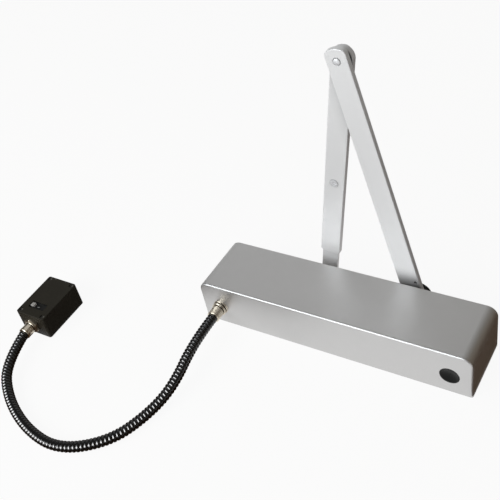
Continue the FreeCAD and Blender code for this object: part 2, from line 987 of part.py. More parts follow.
bobbin = new_body("coil_bobbin")
bobbin_left = "frame_wall - frame_length"
bobbin_right = "-frame_wall"
bobbin_bore = "(plunger_radius + running_clearance)"
turned(
    bobbin,
    "X",
    [
        (bobbin_bore, bobbin_left),
        ("bobbin_flange_radius", bobbin_left),
        ("bobbin_flange_radius", bobbin_left + " + bobbin_flange"),
        ("bobbin_tube_radius", bobbin_left + " + bobbin_flange"),
        ("bobbin_tube_radius", bobbin_right + " - bobbin_flange"),
        ("bobbin_flange_radius", bobbin_right + " - bobbin_flange"),
        ("bobbin_flange_radius", bobbin_right),
        (bobbin_bore, bobbin_right),
    ],
)
place(bobbin, frame_x, "0", "spindle_z")
nodes.append(bobbin)

winding = new_body("coil_winding")
ring(
    winding,
    "X",
    "bobbin_tube_radius",
    "winding_radius",
    bobbin_left + " + bobbin_flange",
    bobbin_right + " - bobbin_flange",
)
place(winding, frame_x, "0", "spindle_z")
nodes.append(winding)

plunger = new_body("plunger")
turned(
    plunger,
    "X",
    [
        ("0", "-plunger_tail"),
        ("plunger_radius", "-plunger_tail"),
        ("plunger_radius", "-plunger_shoulder"),
        ("needle_radius", "-plunger_shoulder"),
        ("needle_radius", "needle_reach"),
        ("0", "needle_reach"),
    ],
)
place(plunger, frame_x, "0", "spindle_z")
nodes.append(plunger)

# main arm: tapered flat bar with a round eye at the spindle and a crowned end at the elbow
arm = new_body("main_arm")
add(
    arm,
    "XZ",
    [
        outline(
            ("-arm_base_half", "0"),
            ("arm_base_half", "0"),
            ("arm_tip_half", "arm_length + arm_tip_shoulder"),
            ("0", "arm_length + arm_tip_peak"),
            ("-arm_tip_half", "arm_length + arm_tip_shoulder"),
        )
    ],
    "0",
    "arm_thick",
)
add(arm, "XZ", [circle("0", "0", "arm_base_radius")], "0", "arm_thick")
# the eye flows into the bar, the end is crowned, and the outline is rounded on both faces
elbow_up = sheet.arm_length
round_edges(arm, "arm_blend_radius", lambda edge, at: along(edge, Y) and at.z < elbow_up / 2)
round_edges(arm, "arm_tip_corner", lambda edge, at: along(edge, Y) and at.z > elbow_up and abs(at.x) > tiny)
round_edges(arm, "arm_tip_crown", lambda edge, at: along(edge, Y) and at.z > elbow_up and abs(at.x) < tiny)
faces = (0, sheet.arm_thick)
round_edges(arm, "arm_edge_round", lambda edge, at: min(abs(at.y - face) for face in faces) < tiny)
# the square hole keeps the spindle's own direction, so it is turned back by the lean
square = []
for across, up in ((-1, -1), (1, -1), (1, 1), (-1, 1)):
    turned_across = "(%d * cos(arm_lean) + %d * sin(arm_lean)) * square_side / 2" % (across, up)
    turned_up = "(%d * cos(arm_lean) - %d * sin(arm_lean)) * square_side / 2" % (up, across)
    square.append((turned_across, turned_up))
cut(arm, "XZ", [outline(*square)], "0", "arm_thick")
cut(arm, "XZ", [circle("0", "arm_length", "elbow_pin_radius")], "0", "arm_thick")
cut(
    arm,
    "XZ",
    [circle("index_hole_side", "index_hole_up", "index_hole_radius")],
    "0",
    "index_hole_depth",
    "start",
)
place(arm, "spindle_x", "arm_y", "spindle_z", "-arm_lean")
nodes.append(arm)

arm_back = "(arm_y + arm_thick)"
washer = new_body("arm_washer")
ring(washer, "Y", "arm_screw_radius", "arm_washer_radius", "0", "arm_washer_thick")
place(washer, "spindle_x", arm_back, "spindle_z")
nodes.append(washer)

nodes.append(
    screws(
        "arm_screw",
        -Y,
        "arm_screw_head_radius",
        "arm_screw_head_height",
        "arm_screw_radius",
        "arm_washer_thick + arm_screw_grip - arm_screw_short",
        [("spindle_x", arm_back + " + arm_washer_thick", "spindle_z")],
    )
)

# black cap that snaps over the washer
arm_cap = new_body("arm_cap")
turned(
    arm_cap,
    "Y",
    [
        ("arm_washer_radius", "0"),
        ("arm_cap_radius", "0"),
        ("arm_cap_radius", "arm_cap_height"),
        ("0", "arm_cap_height"),
        ("0", "arm_cap_height - arm_cap_roof"),
        ("arm_washer_radius", "arm_cap_height - arm_cap_roof"),
    ],
)
cap_top = sheet.arm_cap_height
round_edges(arm_cap, "arm_cap_round", lambda edge, at: at.y > cap_top - tiny)
place(arm_cap, "spindle_x", arm_back, "spindle_z")
nodes.append(arm_cap)

# elbow: riveted pin with a low dome on the near face, and a washer between the arms
pin = new_body("elbow_pin")
pin_grip = "arm_thick + elbow_washer_thick + sleeve_thick + 2 * running_clearance"
turned(
    pin,
    "Y",
    [
        ("0", "-elbow_pin_dome"),
        ("elbow_pin_radius", "-elbow_pin_dome"),
        ("elbow_pin_radius", pin_grip),
        ("elbow_head_radius", pin_grip),
        ("elbow_head_radius", pin_grip + " + elbow_head_height"),
        ("0", pin_grip + " + elbow_head_height"),
    ],
)
pin_top = -sheet.elbow_pin_dome
round_edges(pin, "elbow_pin_round", lambda edge, at: at.y < pin_top + tiny)
place(pin, "elbow_x", "arm_y", "elbow_z")
nodes.append(pin)

elbow_washer = new_body("elbow_washer")
ring(elbow_washer, "Y", "elbow_pin_radius", "elbow_washer_radius", "0", "elbow_washer_thick")
place(elbow_washer, "elbow_x", arm_back, "elbow_z")
nodes.append(elbow_washer)

# forearm sleeve: flat tube, closed and rounded at the elbow
sleeve = new_body("forearm_sleeve")
add(
    sleeve,
    "XZ",
    [
        outline(
            ("-sleeve_half", "-sleeve_end_drop"),
            ("-sleeve_half", "sleeve_chamfer - sleeve_bottom"),
            ("sleeve_chamfer - sleeve_half", "-sleeve_bottom"),
            ("sleeve_half - sleeve_chamfer", "-sleeve_bottom"),
            ("sleeve_half", "sleeve_chamfer - sleeve_bottom"),
            ("sleeve_half", "-sleeve_end_drop"),
        )
    ],
    "0",
    "sleeve_thick",
)
add(sleeve, "XZ", [circle("0", "-sleeve_end_drop", "sleeve_half")], "0", "sleeve_thick")
chamfer_start = sheet.sleeve_chamfer - sheet.sleeve_bottom
faces = (0, sheet.sleeve_thick)
round_edges(
    sleeve,
    "sleeve_edge_round",
    lambda edge, at: min(abs(at.y - face) for face in faces) < tiny and at.z > chamfer_start,
)
cut(
    sleeve,
    "XZ",
    [
        rectangle(
            "-bar_half - bar_play_side",
            "-sleeve_bottom",
            "bar_half + bar_play_side",
            "-bar_room_top",
        )
    ],
    "bar_start - bar_play_face",
    "bar_end + bar_play_face",
    "neither",
)
cut(
    sleeve,
    "XZ",
    [circle("0", "0", "elbow_pin_radius + running_clearance")],
    "0",
    "sleeve_thick",
)
cut(sleeve, "XZ", [circle("0", "-clamp_drop", "clamp_radius")], "0", "sleeve_thick")
place(sleeve, "elbow_x", "forearm_y", "elbow_z", "forearm_lean")
nodes.append(sleeve)

# forearm bar: slides in the sleeve on a long slot, round eye at the foot
bar = new_body("forearm_bar")
add(
    bar,
    "XZ",
    [rectangle("-bar_half", "-forearm_long", "bar_half", "-bar_top")],
    "bar_start",
    "bar_end",
)
add(bar, "XZ", [circle("0", "-forearm_long", "bar_half")], "bar_start", "bar_end")
cut(
    bar,
    "XZ",
    [circle("0", "-forearm_long", "foot_pin_radius + running_clearance")],
    "bar_start",
    "bar_end",
)
cut(
    bar,
    "XZ",
    [rectangle("-bar_slot_half", "-clamp_drop - bar_slot_down", "bar_slot_half", "bar_slot_up - clamp_drop")],
    "bar_start",
    "bar_end",
)
place(bar, "elbow_x", "forearm_y", "elbow_z", "forearm_lean")
nodes.append(bar)

clamp = new_body("clamp_screw")
turned(
    clamp,
    "Y",
    [
        ("0", "-clamp_head_height"),
        ("clamp_head_radius", "-clamp_head_height"),
        ("clamp_head_radius", "0"),
        ("clamp_radius", "0"),
        ("clamp_radius", "sleeve_thick + clamp_nut_height"),
        ("0", "sleeve_thick + clamp_nut_height"),
    ],
)
clamp_x = "elbow_x - clamp_drop * sin(forearm_lean)"
clamp_z = "elbow_z - clamp_drop * cos(forearm_lean)"
place(clamp, clamp_x, "forearm_y", clamp_z, "forearm_lean")
nodes.append(clamp)

nut = new_body("clamp_nut")
nut_corners = []
for across, corner in hexagon:
    nut_corners.append(("clamp_nut_radius * %d * cos(30)" % across, "clamp_nut_radius * %.1f" % corner))
add(
    nut,
    "XZ",
    [outline(*nut_corners), circle("0", "0", "clamp_radius")],
    "sleeve_thick",
    "sleeve_thick + clamp_nut_height",
)
place(nut, clamp_x, "forearm_y", clamp_z, "forearm_lean")
nodes.append(nut)

# foot bracket: plate for the door frame with two lugs round the end of the bar
foot = new_body("foot_bracket")
add(
    foot,
    "XY",
    [rectangle("-foot_plate_half", "-foot_plate_side", "foot_plate_half", "foot_plate_side")],
    "-foot_pivot_height",
    "foot_plate_thick - foot_pivot_height",
)
round_edges(foot, "foot_plate_round", lambda edge, at: along(edge, Z))
lug_in = "(bar_thick / 2 + lug_gap)"
lug_out = "(bar_thick / 2 + lug_gap + lug_thick)"
for start, end in ((lug_in, lug_out), ("-" + lug_out, "-" + lug_in)):
    add(
        foot,
        "XZ",
        [
            outline(
                ("-lug_half", "-foot_pivot_height"),
                ("lug_half", "-foot_pivot_height"),
                ("lug_radius", "0"),
                ("-lug_radius", "0"),
            )
        ],
        start,
        end,
    )
    add(foot, "XZ", [circle("0", "0", "lug_radius")], start, end)
cut(foot, "XZ", [circle("0", "0", "foot_pin_radius")], "-" + lug_out, lug_out)
frame_holes = []
for way in ("-", ""):
    for turn in ("-", ""):
        frame_holes.append(circle(way + "frame_hole_reach", turn + "frame_hole_side", "frame_hole_radius"))
cut(foot, "XY", frame_holes, "-foot_pivot_height", "foot_plate_thick - foot_pivot_height")
place(foot, "foot_x", "foot_y", "foot_pivot_height")
nodes.append(foot)

foot_pin = new_body("foot_pin")
turned(
    foot_pin,
    "Y",
    [
        ("0", "-" + lug_out + " - foot_pin_head_height"),
        ("foot_pin_head_radius", "-" + lug_out + " - foot_pin_head_height"),
        ("foot_pin_head_radius", "-" + lug_out),
        ("foot_pin_radius", "-" + lug_out),
        ("foot_pin_radius", lug_out),
        ("foot_pin_head_radius", lug_out),
        ("foot_pin_head_radius", lug_out + " + foot_pin_head_height"),
        ("0", lug_out + " + foot_pin_head_height"),
    ],
)
place(foot_pin, "foot_x", "foot_y", "foot_pivot_height")
nodes.append(foot_pin)

# dished plug in the spare cable entry
plug = new_body("blanking_plug")
turned(
    plug,
    "Y",
    [
        ("0", "plug_recess + plug_dish"),
        ("spare_entry_radius - plug_rim", "plug_recess"),
        ("spare_entry_radius", "plug_recess"),
        ("spare_entry_radius", "cover_wall"),
        ("plug_flange_radius", "cover_wall"),
        ("plug_flange_radius", "cover_wall + plug_flange"),
        ("spare_entry_radius", "cover_wall + plug_flange"),
        ("spare_entry_radius", "plug_recess + plug_depth"),
        ("0", "plug_recess + plug_depth"),
    ],
)
place(plug, "entry_reach", "-cover_width / 2", "entry_height")
nodes.append(plug)

# gland on the cover: flange, ring and barrel outside, thread and nut inside
gland = new_body("cover_gland")
turned(
    gland,
    "Y",
    [
        ("gland_bore_radius", "-gland_length"),
        ("gland_barrel_radius", "-gland_length"),
        ("gland_barrel_radius", "-gland_flange - gland_ring"),
        ("gland_ring_radius", "-gland_flange - gland_ring"),
        ("gland_ring_radius", "-gland_flange"),
        ("gland_flange_radius", "-gland_flange"),
        ("gland_flange_radius", "0"),
        ("gland_thread_radius", "0"),
        ("gland_thread_radius", "gland_thread_length"),
        ("gland_bore_radius", "gland_thread_length"),
    ],
)
place(gland, "-entry_reach", "-cover_width / 2", "entry_height")
nodes.append(gland)


def hexagon_nut(label, start):
    """A hexagon nut on a gland thread, from a place along Y."""
    body = new_body(label)
    flats = []
    for across, corner in hexagon:
        flats.append(("gland_nut_radius * %d * cos(30)" % across, "gland_nut_radius * %.1f" % corner))
    thread = circle("0", "0", "gland_thread_radius")
    add(body, "XZ", [outline(*flats), thread], start, start + " + gland_nut_height")
    return body


gland_nut = hexagon_nut("cover_gland_nut", "cover_wall")
place(gland_nut, "-entry_reach", "-cover_width / 2", "entry_height")
nodes.append(gland_nut)

# conduit: a tube of straight runs and tangent arcs between the two glands
entry_x = sheet.evalExpression(tied("-entry_reach"))
conduit_start = Vector(entry_x, -sheet.cover_width / 2 - sheet.gland_length, sheet.entry_height)
first_bend = conduit_start - Y * sheet.conduit_straight
box_face = sheet.box_y - sheet.box_long / 2
conduit_end = Vector(sheet.box_x, box_face - sheet.box_gland_length, sheet.box_gland_height)
corners = [conduit_start, first_bend] + [Vector(*point) for point in route_between] + [conduit_end]
pieces = []
last = corners[0]
path_length = 0.0
for before, at, after in zip(corners, corners[1:], corners[2:]):
    back = (before - at).normalize()
    ahead = (after - at).normalize()
    half_turn = (math.pi - back.getAngle(ahead)) / 2
    leg = bend_share * min((before - at).Length, (after - at).Length)
    radius = leg / math.tan(half_turn)
    print("bend at", tuple(round(value, 1) for value in at), "radius", round(radius, 1))
    enter = at + back * leg
    leave = at + ahead * leg
    inward = (back + ahead).normalize()
    middle = at + inward * (radius / math.cos(half_turn) - radius)
    pieces.append(Part.LineSegment(last, enter).toShape())
    pieces.append(Part.Arc(enter, middle, leave).toShape())
    path_length += (enter - last).Length + radius * 2 * half_turn
    last = leave
pieces.append(Part.LineSegment(last, corners[-1]).toShape())
path_length += (corners[-1] - last).Length
path = Part.Wire(pieces)
tangent = (corners[1] - corners[0]).normalize()
walls = []
for radius in (sheet.conduit_radius, sheet.conduit_bore_radius):
    loop = Part.Wire([Part.Circle(corners[0], tangent, radius).toShape()])
    walls.append(path.makePipeShell([loop], True, False))
tube = walls[0].cut(walls[1])
section = math.pi * (sheet.conduit_radius**2 - sheet.conduit_bore_radius**2)
print("conduit length", round(path_length, 1))
print("conduit volume share", round(tube.Volume / (section * path_length), 4))
conduit = doc.addObject("Part::Feature", "conduit")
conduit.Label = "conduit"
conduit.Shape = tube
nodes.append(conduit)

# switch box: base with four pillars, board supports and a gland hole
base = new_body("box_base")
half_wide = "box_wide / 2"
half_long = "box_long / 2"
add(base, "XY", [rectangle("-" + half_wide, "-" + half_long, half_wide, half_long)], "0", "box_base_height")
round_edges(base, "box_corner_round", lambda edge, at: along(edge, Z))
room_side = "(box_wide / 2 - box_wall)"
room_end = "(box_long / 2 - box_wall)"
post_side = "(pillar_side - pillar_half)"
post_end = "(pillar_end - pillar_half)"
cross = outline(
    ("-" + post_side, "-" + room_end),
    (post_side, "-" + room_end),
    (post_side, "-" + post_end),
    (room_side, "-" + post_end),
    (room_side, post_end),
    (post_side, post_end),
    (post_side, room_end),
    ("-" + post_side, room_end),
    ("-" + post_side, post_end),
    ("-" + room_side, post_end),
    ("-" + room_side, "-" + post_end),
    ("-" + post_side, "-" + post_end),
)
cut(base, "XY", [cross], "box_wall", "box_base_height", "end")
supports = []
for way in ("-", ""):
    for turn in ("-", ""):
        end = "board_shift + (" + turn + "standoff_end)"
        supports.append(circle(way + "standoff_side", end, "standoff_radius"))
add(base, "XY", supports, "0", "standoff_height")
lid_screw_holes = []
lid_screw_wells = []
lid_screw_places = []
box_top = "(box_base_height + box_lid_height)"
lid_bear = box_top + " - lid_screw_sunk - lid_screw_head_height"
for way in ("-", ""):
    for turn in ("-", ""):
        spot = (way + "pillar_side", turn + "pillar_end")
        lid_screw_holes.append(circle(spot[0], spot[1], "lid_screw_radius"))
        lid_screw_wells.append(circle(spot[0], spot[1], "lid_screw_head_radius + lid_screw_play"))
        at = ("box_x + (" + spot[0] + ")", "box_y + (" + spot[1] + ")", lid_bear)
        lid_screw_places.append(at)
cut(base, "XY", lid_screw_holes, lid_bear + " - lid_screw_depth", "box_base_height", "end")
cut(
    base,
    "XZ",
    [circle("0", "box_gland_height", "gland_thread_radius")],
    "-" + half_long,
    "-" + room_end,
)
place(base, "box_x", "box_y", "0")
nodes.append(base)

# lid with a long window for the switch
lid = new_body("box_lid")
lid_loop = rectangle("-" + half_wide, "-" + half_long, half_wide, half_long)
add(lid, "XY", [lid_loop], "box_base_height", box_top)
lid_top = sheet.box_base_height + sheet.box_lid_height
round_edges(lid, "box_corner_round", lambda edge, at: along(edge, Z))
round_edges(lid, "box_lid_round", lambda edge, at: at.z > lid_top - tiny)
cut(lid, "XY", [cross], "box_base_height", box_top + " - box_lid_roof", "start")
cut(lid, "XY", lid_screw_holes, "box_base_height", box_top)
cut(lid, "XY", lid_screw_wells, lid_bear, box_top, "end")
window = rectangle(
    "-switch_half_wide",
    "switch_shift - switch_half_long",
    "switch_half_wide",
    "switch_shift + switch_half_long",
)
cut(lid, "XY", [window], "box_base_height", box_top)
place(lid, "box_x", "box_y", "0")
nodes.append(lid)

nodes.append(
    screws(
        "lid_screws",
        -Z,
        "lid_screw_head_radius",
        "lid_screw_head_height",
        "lid_screw_radius",
        "lid_screw_depth",
        lid_screw_places,
    )
)

# slide switch: body in the window with a track, and a knob that slides along it
switch_top = "(" + box_top + " - switch_recess)"
track_floor = "(" + switch_top + " - knob_foot_height)"
switch = new_body("switch_body")
add(switch, "XY", [window], switch_top + " - switch_height", switch_top)
knob_end = "(knob_park + knob_travel)"
track = rectangle(
    "knob_park - knob_foot_half - knob_play",
    "switch_shift - knob_half_long - knob_play",
    knob_end + " + knob_foot_half + knob_play",
    "switch_shift + knob_half_long + knob_play",
)
cut(switch, "XY", [track], track_floor, switch_top, "end")
place(switch, "box_x", "box_y", "0")
nodes.append(switch)

knob = new_body("switch_knob")
knob_foot = rectangle(
    "-knob_foot_half",
    "-knob_half_long",
    "knob_foot_half",
    "knob_half_long",
)
add(knob, "XY", [knob_foot], "0", "knob_foot_height")
knob_loop = rectangle("-knob_half_wide", "-knob_half_long", "knob_half_wide", "knob_half_long")
add(knob, "XY", [knob_loop], "0", "knob_foot_height + knob_height")
place(knob, "box_x + knob_park", "box_y + switch_shift", track_floor)
nodes.append(knob)

# circuit board on its supports, and the terminal block on the board
board = new_body("circuit_board")
add(
    board,
    "XY",
    [rectangle("-board_half_wide", "-board_half_long", "board_half_wide", "board_half_long")],
    "0",
    "board_thick",
)
place(board, "box_x", "box_y + board_shift", "standoff_height")
nodes.append(board)

terminal = new_body("terminal_block")
add(
    terminal,
    "XY",
    [
        rectangle(
            "-terminal_half_wide",
            "-terminal_half_long",
            "terminal_half_wide",
            "terminal_half_long",
        )
    ],
    "0",
    "terminal_height",
)
place(terminal, "box_x", "box_y + terminal_shift", "standoff_height + board_thick")
nodes.append(terminal)

# gland on the box, with a hexagon outside and a nut inside
box_gland = new_body("box_gland")
turned(
    box_gland,
    "Y",
    [
        ("gland_bore_radius", "-box_gland_length"),
        ("gland_barrel_radius", "-box_gland_length"),
        ("gland_barrel_radius", "0"),
        ("gland_thread_radius", "0"),
        ("gland_thread_radius", "gland_thread_length"),
        ("gland_bore_radius", "gland_thread_length"),
    ],
)
flats = []
for across, corner in hexagon:
    flats.append(("gland_flange_radius * %d" % across, "gland_flange_radius * %.1f / cos(30)" % corner))
add(
    box_gland,
    "XZ",
    [outline(*flats), circle("0", "0", "gland_thread_radius")],
    "-box_gland_hex",
    "0",
)
place(box_gland, "box_x", "box_y - box_long / 2", "box_gland_height")
nodes.append(box_gland)

box_nut = hexagon_nut("box_gland_nut", "box_wall")
place(box_nut, "box_x", "box_y - box_long / 2", "box_gland_height")
nodes.append(box_nut)

doc.recompute()

faults = [item.Name for item in doc.Objects if "Invalid" in item.State or "Error" in item.State]
if faults:
    raise RuntimeError("not computed: " + ", ".join(faults))
labels = [item.Label for item in nodes]
if len(set(labels)) != len(labels):
    raise RuntimeError("labels repeat")
os.makedirs("parts", exist_ok=True)
for item in nodes:
    if item.Shape.isNull() or not item.Shape.isValid():
        raise RuntimeError("no valid shape: " + item.Label)
    item.Shape.exportStep("parts/" + item.Label + ".step")
print(len(nodes), "nodes")
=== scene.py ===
import json
import math

import bmesh
import bpy
from bpy.props import FloatProperty, FloatVectorProperty, IntProperty, PointerProperty
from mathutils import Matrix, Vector


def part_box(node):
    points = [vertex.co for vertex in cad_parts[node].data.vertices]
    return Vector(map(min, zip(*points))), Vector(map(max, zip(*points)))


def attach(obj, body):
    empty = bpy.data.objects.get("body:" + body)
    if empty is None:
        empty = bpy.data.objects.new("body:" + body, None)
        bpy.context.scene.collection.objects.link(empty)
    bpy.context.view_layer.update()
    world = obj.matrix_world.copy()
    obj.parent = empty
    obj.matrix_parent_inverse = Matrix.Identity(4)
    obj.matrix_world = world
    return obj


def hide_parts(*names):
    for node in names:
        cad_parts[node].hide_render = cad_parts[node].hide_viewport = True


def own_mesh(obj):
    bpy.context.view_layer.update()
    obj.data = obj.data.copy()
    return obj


bl_info = {
    "name": "Electromagnetic door closer",
    "version": (1, 0, 0),
    "blender": (4, 5, 0),
    "location": "View3D > Sidebar > Closer",
    "description": "Dresses the packed door closer with its finishes, ribbed conduit, glands and fittings",
    "category": "Object",
}

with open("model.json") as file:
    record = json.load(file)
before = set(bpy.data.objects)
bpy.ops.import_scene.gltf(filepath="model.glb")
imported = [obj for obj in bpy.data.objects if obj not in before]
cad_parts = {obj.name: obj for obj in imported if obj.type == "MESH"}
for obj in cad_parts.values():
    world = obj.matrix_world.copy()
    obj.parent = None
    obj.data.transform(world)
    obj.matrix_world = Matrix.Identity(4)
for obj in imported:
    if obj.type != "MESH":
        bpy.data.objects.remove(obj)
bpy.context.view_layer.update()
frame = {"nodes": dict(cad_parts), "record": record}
record = frame["record"]
slot_of = {row["node"]: row["material_slot"] for row in record["subparts"]}
body_of = {node: body for body, nodes in record["behaviour"]["bodies"].items() for node in nodes}
joint_of = {row["name"]: row for row in record["behaviour"]["joints"]}
stand_ins = {}
finishes = {}

MM = 0.001
X = Vector((1, 0, 0))
Y = Vector((0, 1, 0))
Z = Vector((0, 0, 1))

COLOUR = "NodeSocketColor"
NUMBER = "NodeSocketFloat"
VECTOR = "NodeSocketVector"

# The main arm's faces shade flat, so its edges are sharp from this angle on, in degrees.
ARM_EDGE = 9.0

# Route of the conduit between its two glands, in metres, the same corners as the solid tube.
CONDUIT_ROUTE = [
    (-0.1275, -0.0530, 0.0225),
    (-0.1275, -0.0920, 0.0225),
    (-0.1213, -0.1419, 0.0135),
    (-0.1298, -0.1780, 0.0064),
    (-0.1470, -0.2201, 0.0061),
    (-0.1901, -0.2495, 0.0061),
    (-0.2389, -0.2438, 0.0061),
    (-0.2860, -0.2210, 0.0066),
    (-0.3180, -0.1885, 0.0115),
    (-0.3255, -0.1470, 0.01475),
]


def length_prop(name, description, default_mm):
    """A length that a user may change, written in millimetres."""
    return FloatProperty(
        name=name, description=description, default=default_mm * MM, unit="LENGTH", precision=5
    )


def colour_prop(name, description, default):
    """A colour that a user may change."""
    return FloatVectorProperty(
        name=name, description=description, default=default, size=3, min=0.0, max=1.0, subtype="COLOR"
    )


def count_prop(name, description, default, least, most):
    """A whole number that a user may change."""
    return IntProperty(name=name, description=description, default=default, min=least, max=most)


def number_prop(name, description, default):
    """A plain number that a user may change."""
    return FloatProperty(name=name, description=description, default=default)


class CloserColours(bpy.types.PropertyGroup):
    """Colours of the finishes."""

    cover_silver: colour_prop("Cover silver", "Satin paint of the cover", (0.62, 0.615, 0.61))
    arm_silver: colour_prop("Arm silver", "Satin paint of the two arms", (0.80, 0.792, 0.788))
    nickel: colour_prop("Gland nickel", "Warm nickel plating of the glands", (0.80, 0.725, 0.60))
    zinc: colour_prop("Zinc", "Zinc plating of the back plate and hidden steel", (0.52, 0.53, 0.55))
    bright_steel: colour_prop("Bright steel", "Spindle, piston, end caps and plunger", (0.66, 0.66, 0.66))
    rivet_pale: colour_prop("Rivet pale", "Elbow rivet, foot pin and clamp screw", (0.84, 0.84, 0.85))
    spring_grey: colour_prop("Spring grey", "Oiled wire of the main spring", (0.20, 0.20, 0.21))
    screw_black: colour_prop("Screw black", "Blackened screws of the box lid", (0.17, 0.165, 0.15))
    cast_metal: colour_prop("Cast metal", "Cast body of the hydraulics", (0.46, 0.47, 0.48))
    bronze: colour_prop("Bronze", "Spindle bushes", (0.50, 0.32, 0.15))
    brass: colour_prop("Brass", "Speed valves", (0.62, 0.45, 0.19))
    copper: colour_prop("Copper", "Coil winding", (0.48, 0.18, 0.08))
    conduit_black: colour_prop("Conduit black", "Glossy skin of the conduit", (0.004, 0.004, 0.004))
    box_black: colour_prop("Box black", "Warm black of the switch box", (0.024, 0.021, 0.0155))
    trim_black: colour_prop("Trim black", "Nylon caps, plug and washers", (0.006, 0.006, 0.0055))
    switch_black: colour_prop("Switch black", "Body of the slide switch", (0.008, 0.008, 0.008))
    bobbin_black: colour_prop("Bobbin black", "Moulding of the coil bobbin", (0.03, 0.03, 0.033))
    knob_pale: colour_prop("Knob pale", "Pale plastic of the switch knob", (0.44, 0.42, 0.39))
    board_green: colour_prop("Board green", "Solder mask of the circuit board", (0.02, 0.12, 0.05))
    terminal_grey: colour_prop("Terminal grey", "Moulding of the terminal block", (0.14, 0.14, 0.15))


class ConduitSizes(bpy.types.PropertyGroup):
    """Sizes of the ribbed conduit."""

    diameter: length_prop("Diameter", "Outer diameter over the ribs", 11.5)
    rib_pitch: length_prop("Rib pitch", "Distance from one rib to the next", 4.0)
    rib_depth: length_prop("Rib depth", "Depth of the groove between two ribs", 1.05)
    real_length: length_prop("Length", "Length from gland to gland", 409.4)
    around: count_prop("Sides", "Points round the conduit", 28, 12, 64)
    per_rib: count_prop("Rings per rib", "Rings along one rib", 14, 4, 24)


class ArmSizes(bpy.types.PropertyGroup):
    """Sizes of the main arm's outline."""

    eye_radius: length_prop("Eye radius", "Round eye over the spindle", 14.0)
    blend_radius: length_prop("Blend radius", "Hollow round between the eye and the bar", 16.0)
    base_half: length_prop("Half width at the eye", "Half the bar's width where it leaves the eye", 11.2)
    tip_half: length_prop("Half width at the elbow", "Half the bar's width at the crowned end", 10.5)
    shoulder: length_prop("Shoulder", "Where the crowned end starts past the elbow", 9.1)
    peak: length_prop("Peak", "Highest point of the crowned end past the elbow", 12.95)
    corner_round: length_prop("Corner round", "Round at each shoulder", 5.5)
    crown_round: length_prop("Crown round", "Round at the peak", 16.5)
    edge_round: length_prop("Edge round", "Round along the edges of both faces", 0.9)
    square: length_prop("Square", "Side of the square hole on the spindle", 11.0)
    pin_radius: length_prop("Pin hole radius", "Radius of the hole for the elbow rivet", 3.4)
    mark_radius: length_prop("Index hole radius", "Radius of the blind index hole", 1.8)
    mark_depth: length_prop("Index hole depth", "Depth of the blind index hole", 4.5)
    mark_side: length_prop("Index hole side", "How far the index hole is from the middle line", 7.2)
    mark_up: length_prop("Index hole height", "How far the index hole is from the spindle", 24.6)


class SpringSizes(bpy.types.PropertyGroup):
    """Sizes of the main spring."""

    wire_radius: length_prop("Wire radius", "Half the thickness of the wire", 2.1)
    turns: count_prop("Turns", "Turns from end to end", 9, 2, 20)
    per_turn: count_prop("Rings per turn", "Rings along one turn", 32, 8, 96)
    around: count_prop("Sides", "Points round the wire", 12, 6, 32)


class StageSizes(bpy.types.PropertyGroup):
    """Camera and lamps."""

    lens: number_prop("Lens", "Focal length in millimetres", 59.24)
    shift_x: number_prop("Shift X", "Sideways shift of the picture", 0.0053)
    shift_y: number_prop("Shift Y", "Upward shift of the picture", 0.0299)
    camera_place: FloatVectorProperty(
        name="Camera place", description="Where the camera stands", default=(0.3105, -0.50377, 0.63851),
        unit="LENGTH", precision=5,
    )
    camera_turn: FloatVectorProperty(
        name="Camera turn", description="Euler angles of the camera",
        default=tuple(math.radians(a) for a in (47.6366, 10.2743, 30.4578)), unit="ROTATION",
    )
    key_power: number_prop("Key power", "Watts of the large soft lamp", 21.0)
    glint_power: number_prop("Glint power", "Watts that only the conduit gets", 75.0)
    fill_power: number_prop("Fill power", "Watts of the fill lamp", 3.0)
    sky_strength: number_prop("Sky", "Strength of the plain sky", 0.28)


# node groups


def surface_group(name, inputs):
    """A shader group that puts out a colour, a roughness and a normal, with its sockets."""
    group = bpy.data.node_groups.new(name, "ShaderNodeTree")
    for label, kind, default in inputs:
        socket = group.interface.new_socket(label, in_out="INPUT", socket_type=kind)
        socket.default_value = default
    for label, kind in (("Color", COLOUR), ("Roughness", NUMBER), ("Normal", VECTOR)):
        group.interface.new_socket(label, in_out="OUTPUT", socket_type=kind)
    start, end = group.nodes.new("NodeGroupInput"), group.nodes.new("NodeGroupOutput")
    return group, start.outputs, end.inputs


def wire(tree, value, socket):
    """Gives a socket another socket's value, a number, or a colour without its alpha."""
    if isinstance(value, bpy.types.NodeSocket):
        tree.links.new(value, socket)
    elif socket.type == "RGBA":
        socket.default_value = (*value, 1.0)
    else:
        socket.default_value = value


def set_inputs(node, values):
    """Wires a node's inputs by their names."""
    for label, value in values.items():
        wire(node.id_data, value, node.inputs[label])


def noise(tree, vector, scale, detail=2.0, rough=0.5):
    """A noise texture; scale is a number or a socket."""
    node = tree.nodes.new("ShaderNodeTexNoise")
    set_inputs(node, {"Vector": vector, "Scale": scale, "Detail": detail, "Roughness": rough})
    return node.outputs["Fac"]


def maths(tree, kind, first, second):
    """A maths node over sockets or numbers."""
    node = tree.nodes.new("ShaderNodeMath")
    node.operation = kind
    wire(tree, first, node.inputs[0])
    wire(tree, second, node.inputs[1])
    return node.outputs[0]


def spread(tree, value, low, high, new_low=0.0, new_high=1.0):
    """Maps a range of a value to another range."""
    node = tree.nodes.new("ShaderNodeMapRange")
    set_inputs(node, {"Value": value, "From Min": low, "From Max": high})
    set_inputs(node, {"To Min": new_low, "To Max": new_high})
    return node.outputs["Result"]


def mix(tree, share, first, second):
    """A colour mix over sockets or colours."""
    node = tree.nodes.new("ShaderNodeMix")
    node.data_type = "RGBA"
    for index, value in ((0, share), (6, first), (7, second)):
        wire(tree, value, node.inputs[index])
    return node.outputs[2]


def object_place(tree):
    """Coordinates in the part's own frame, in metres."""
    return tree.nodes.new("ShaderNodeTexCoord").outputs["Object"]


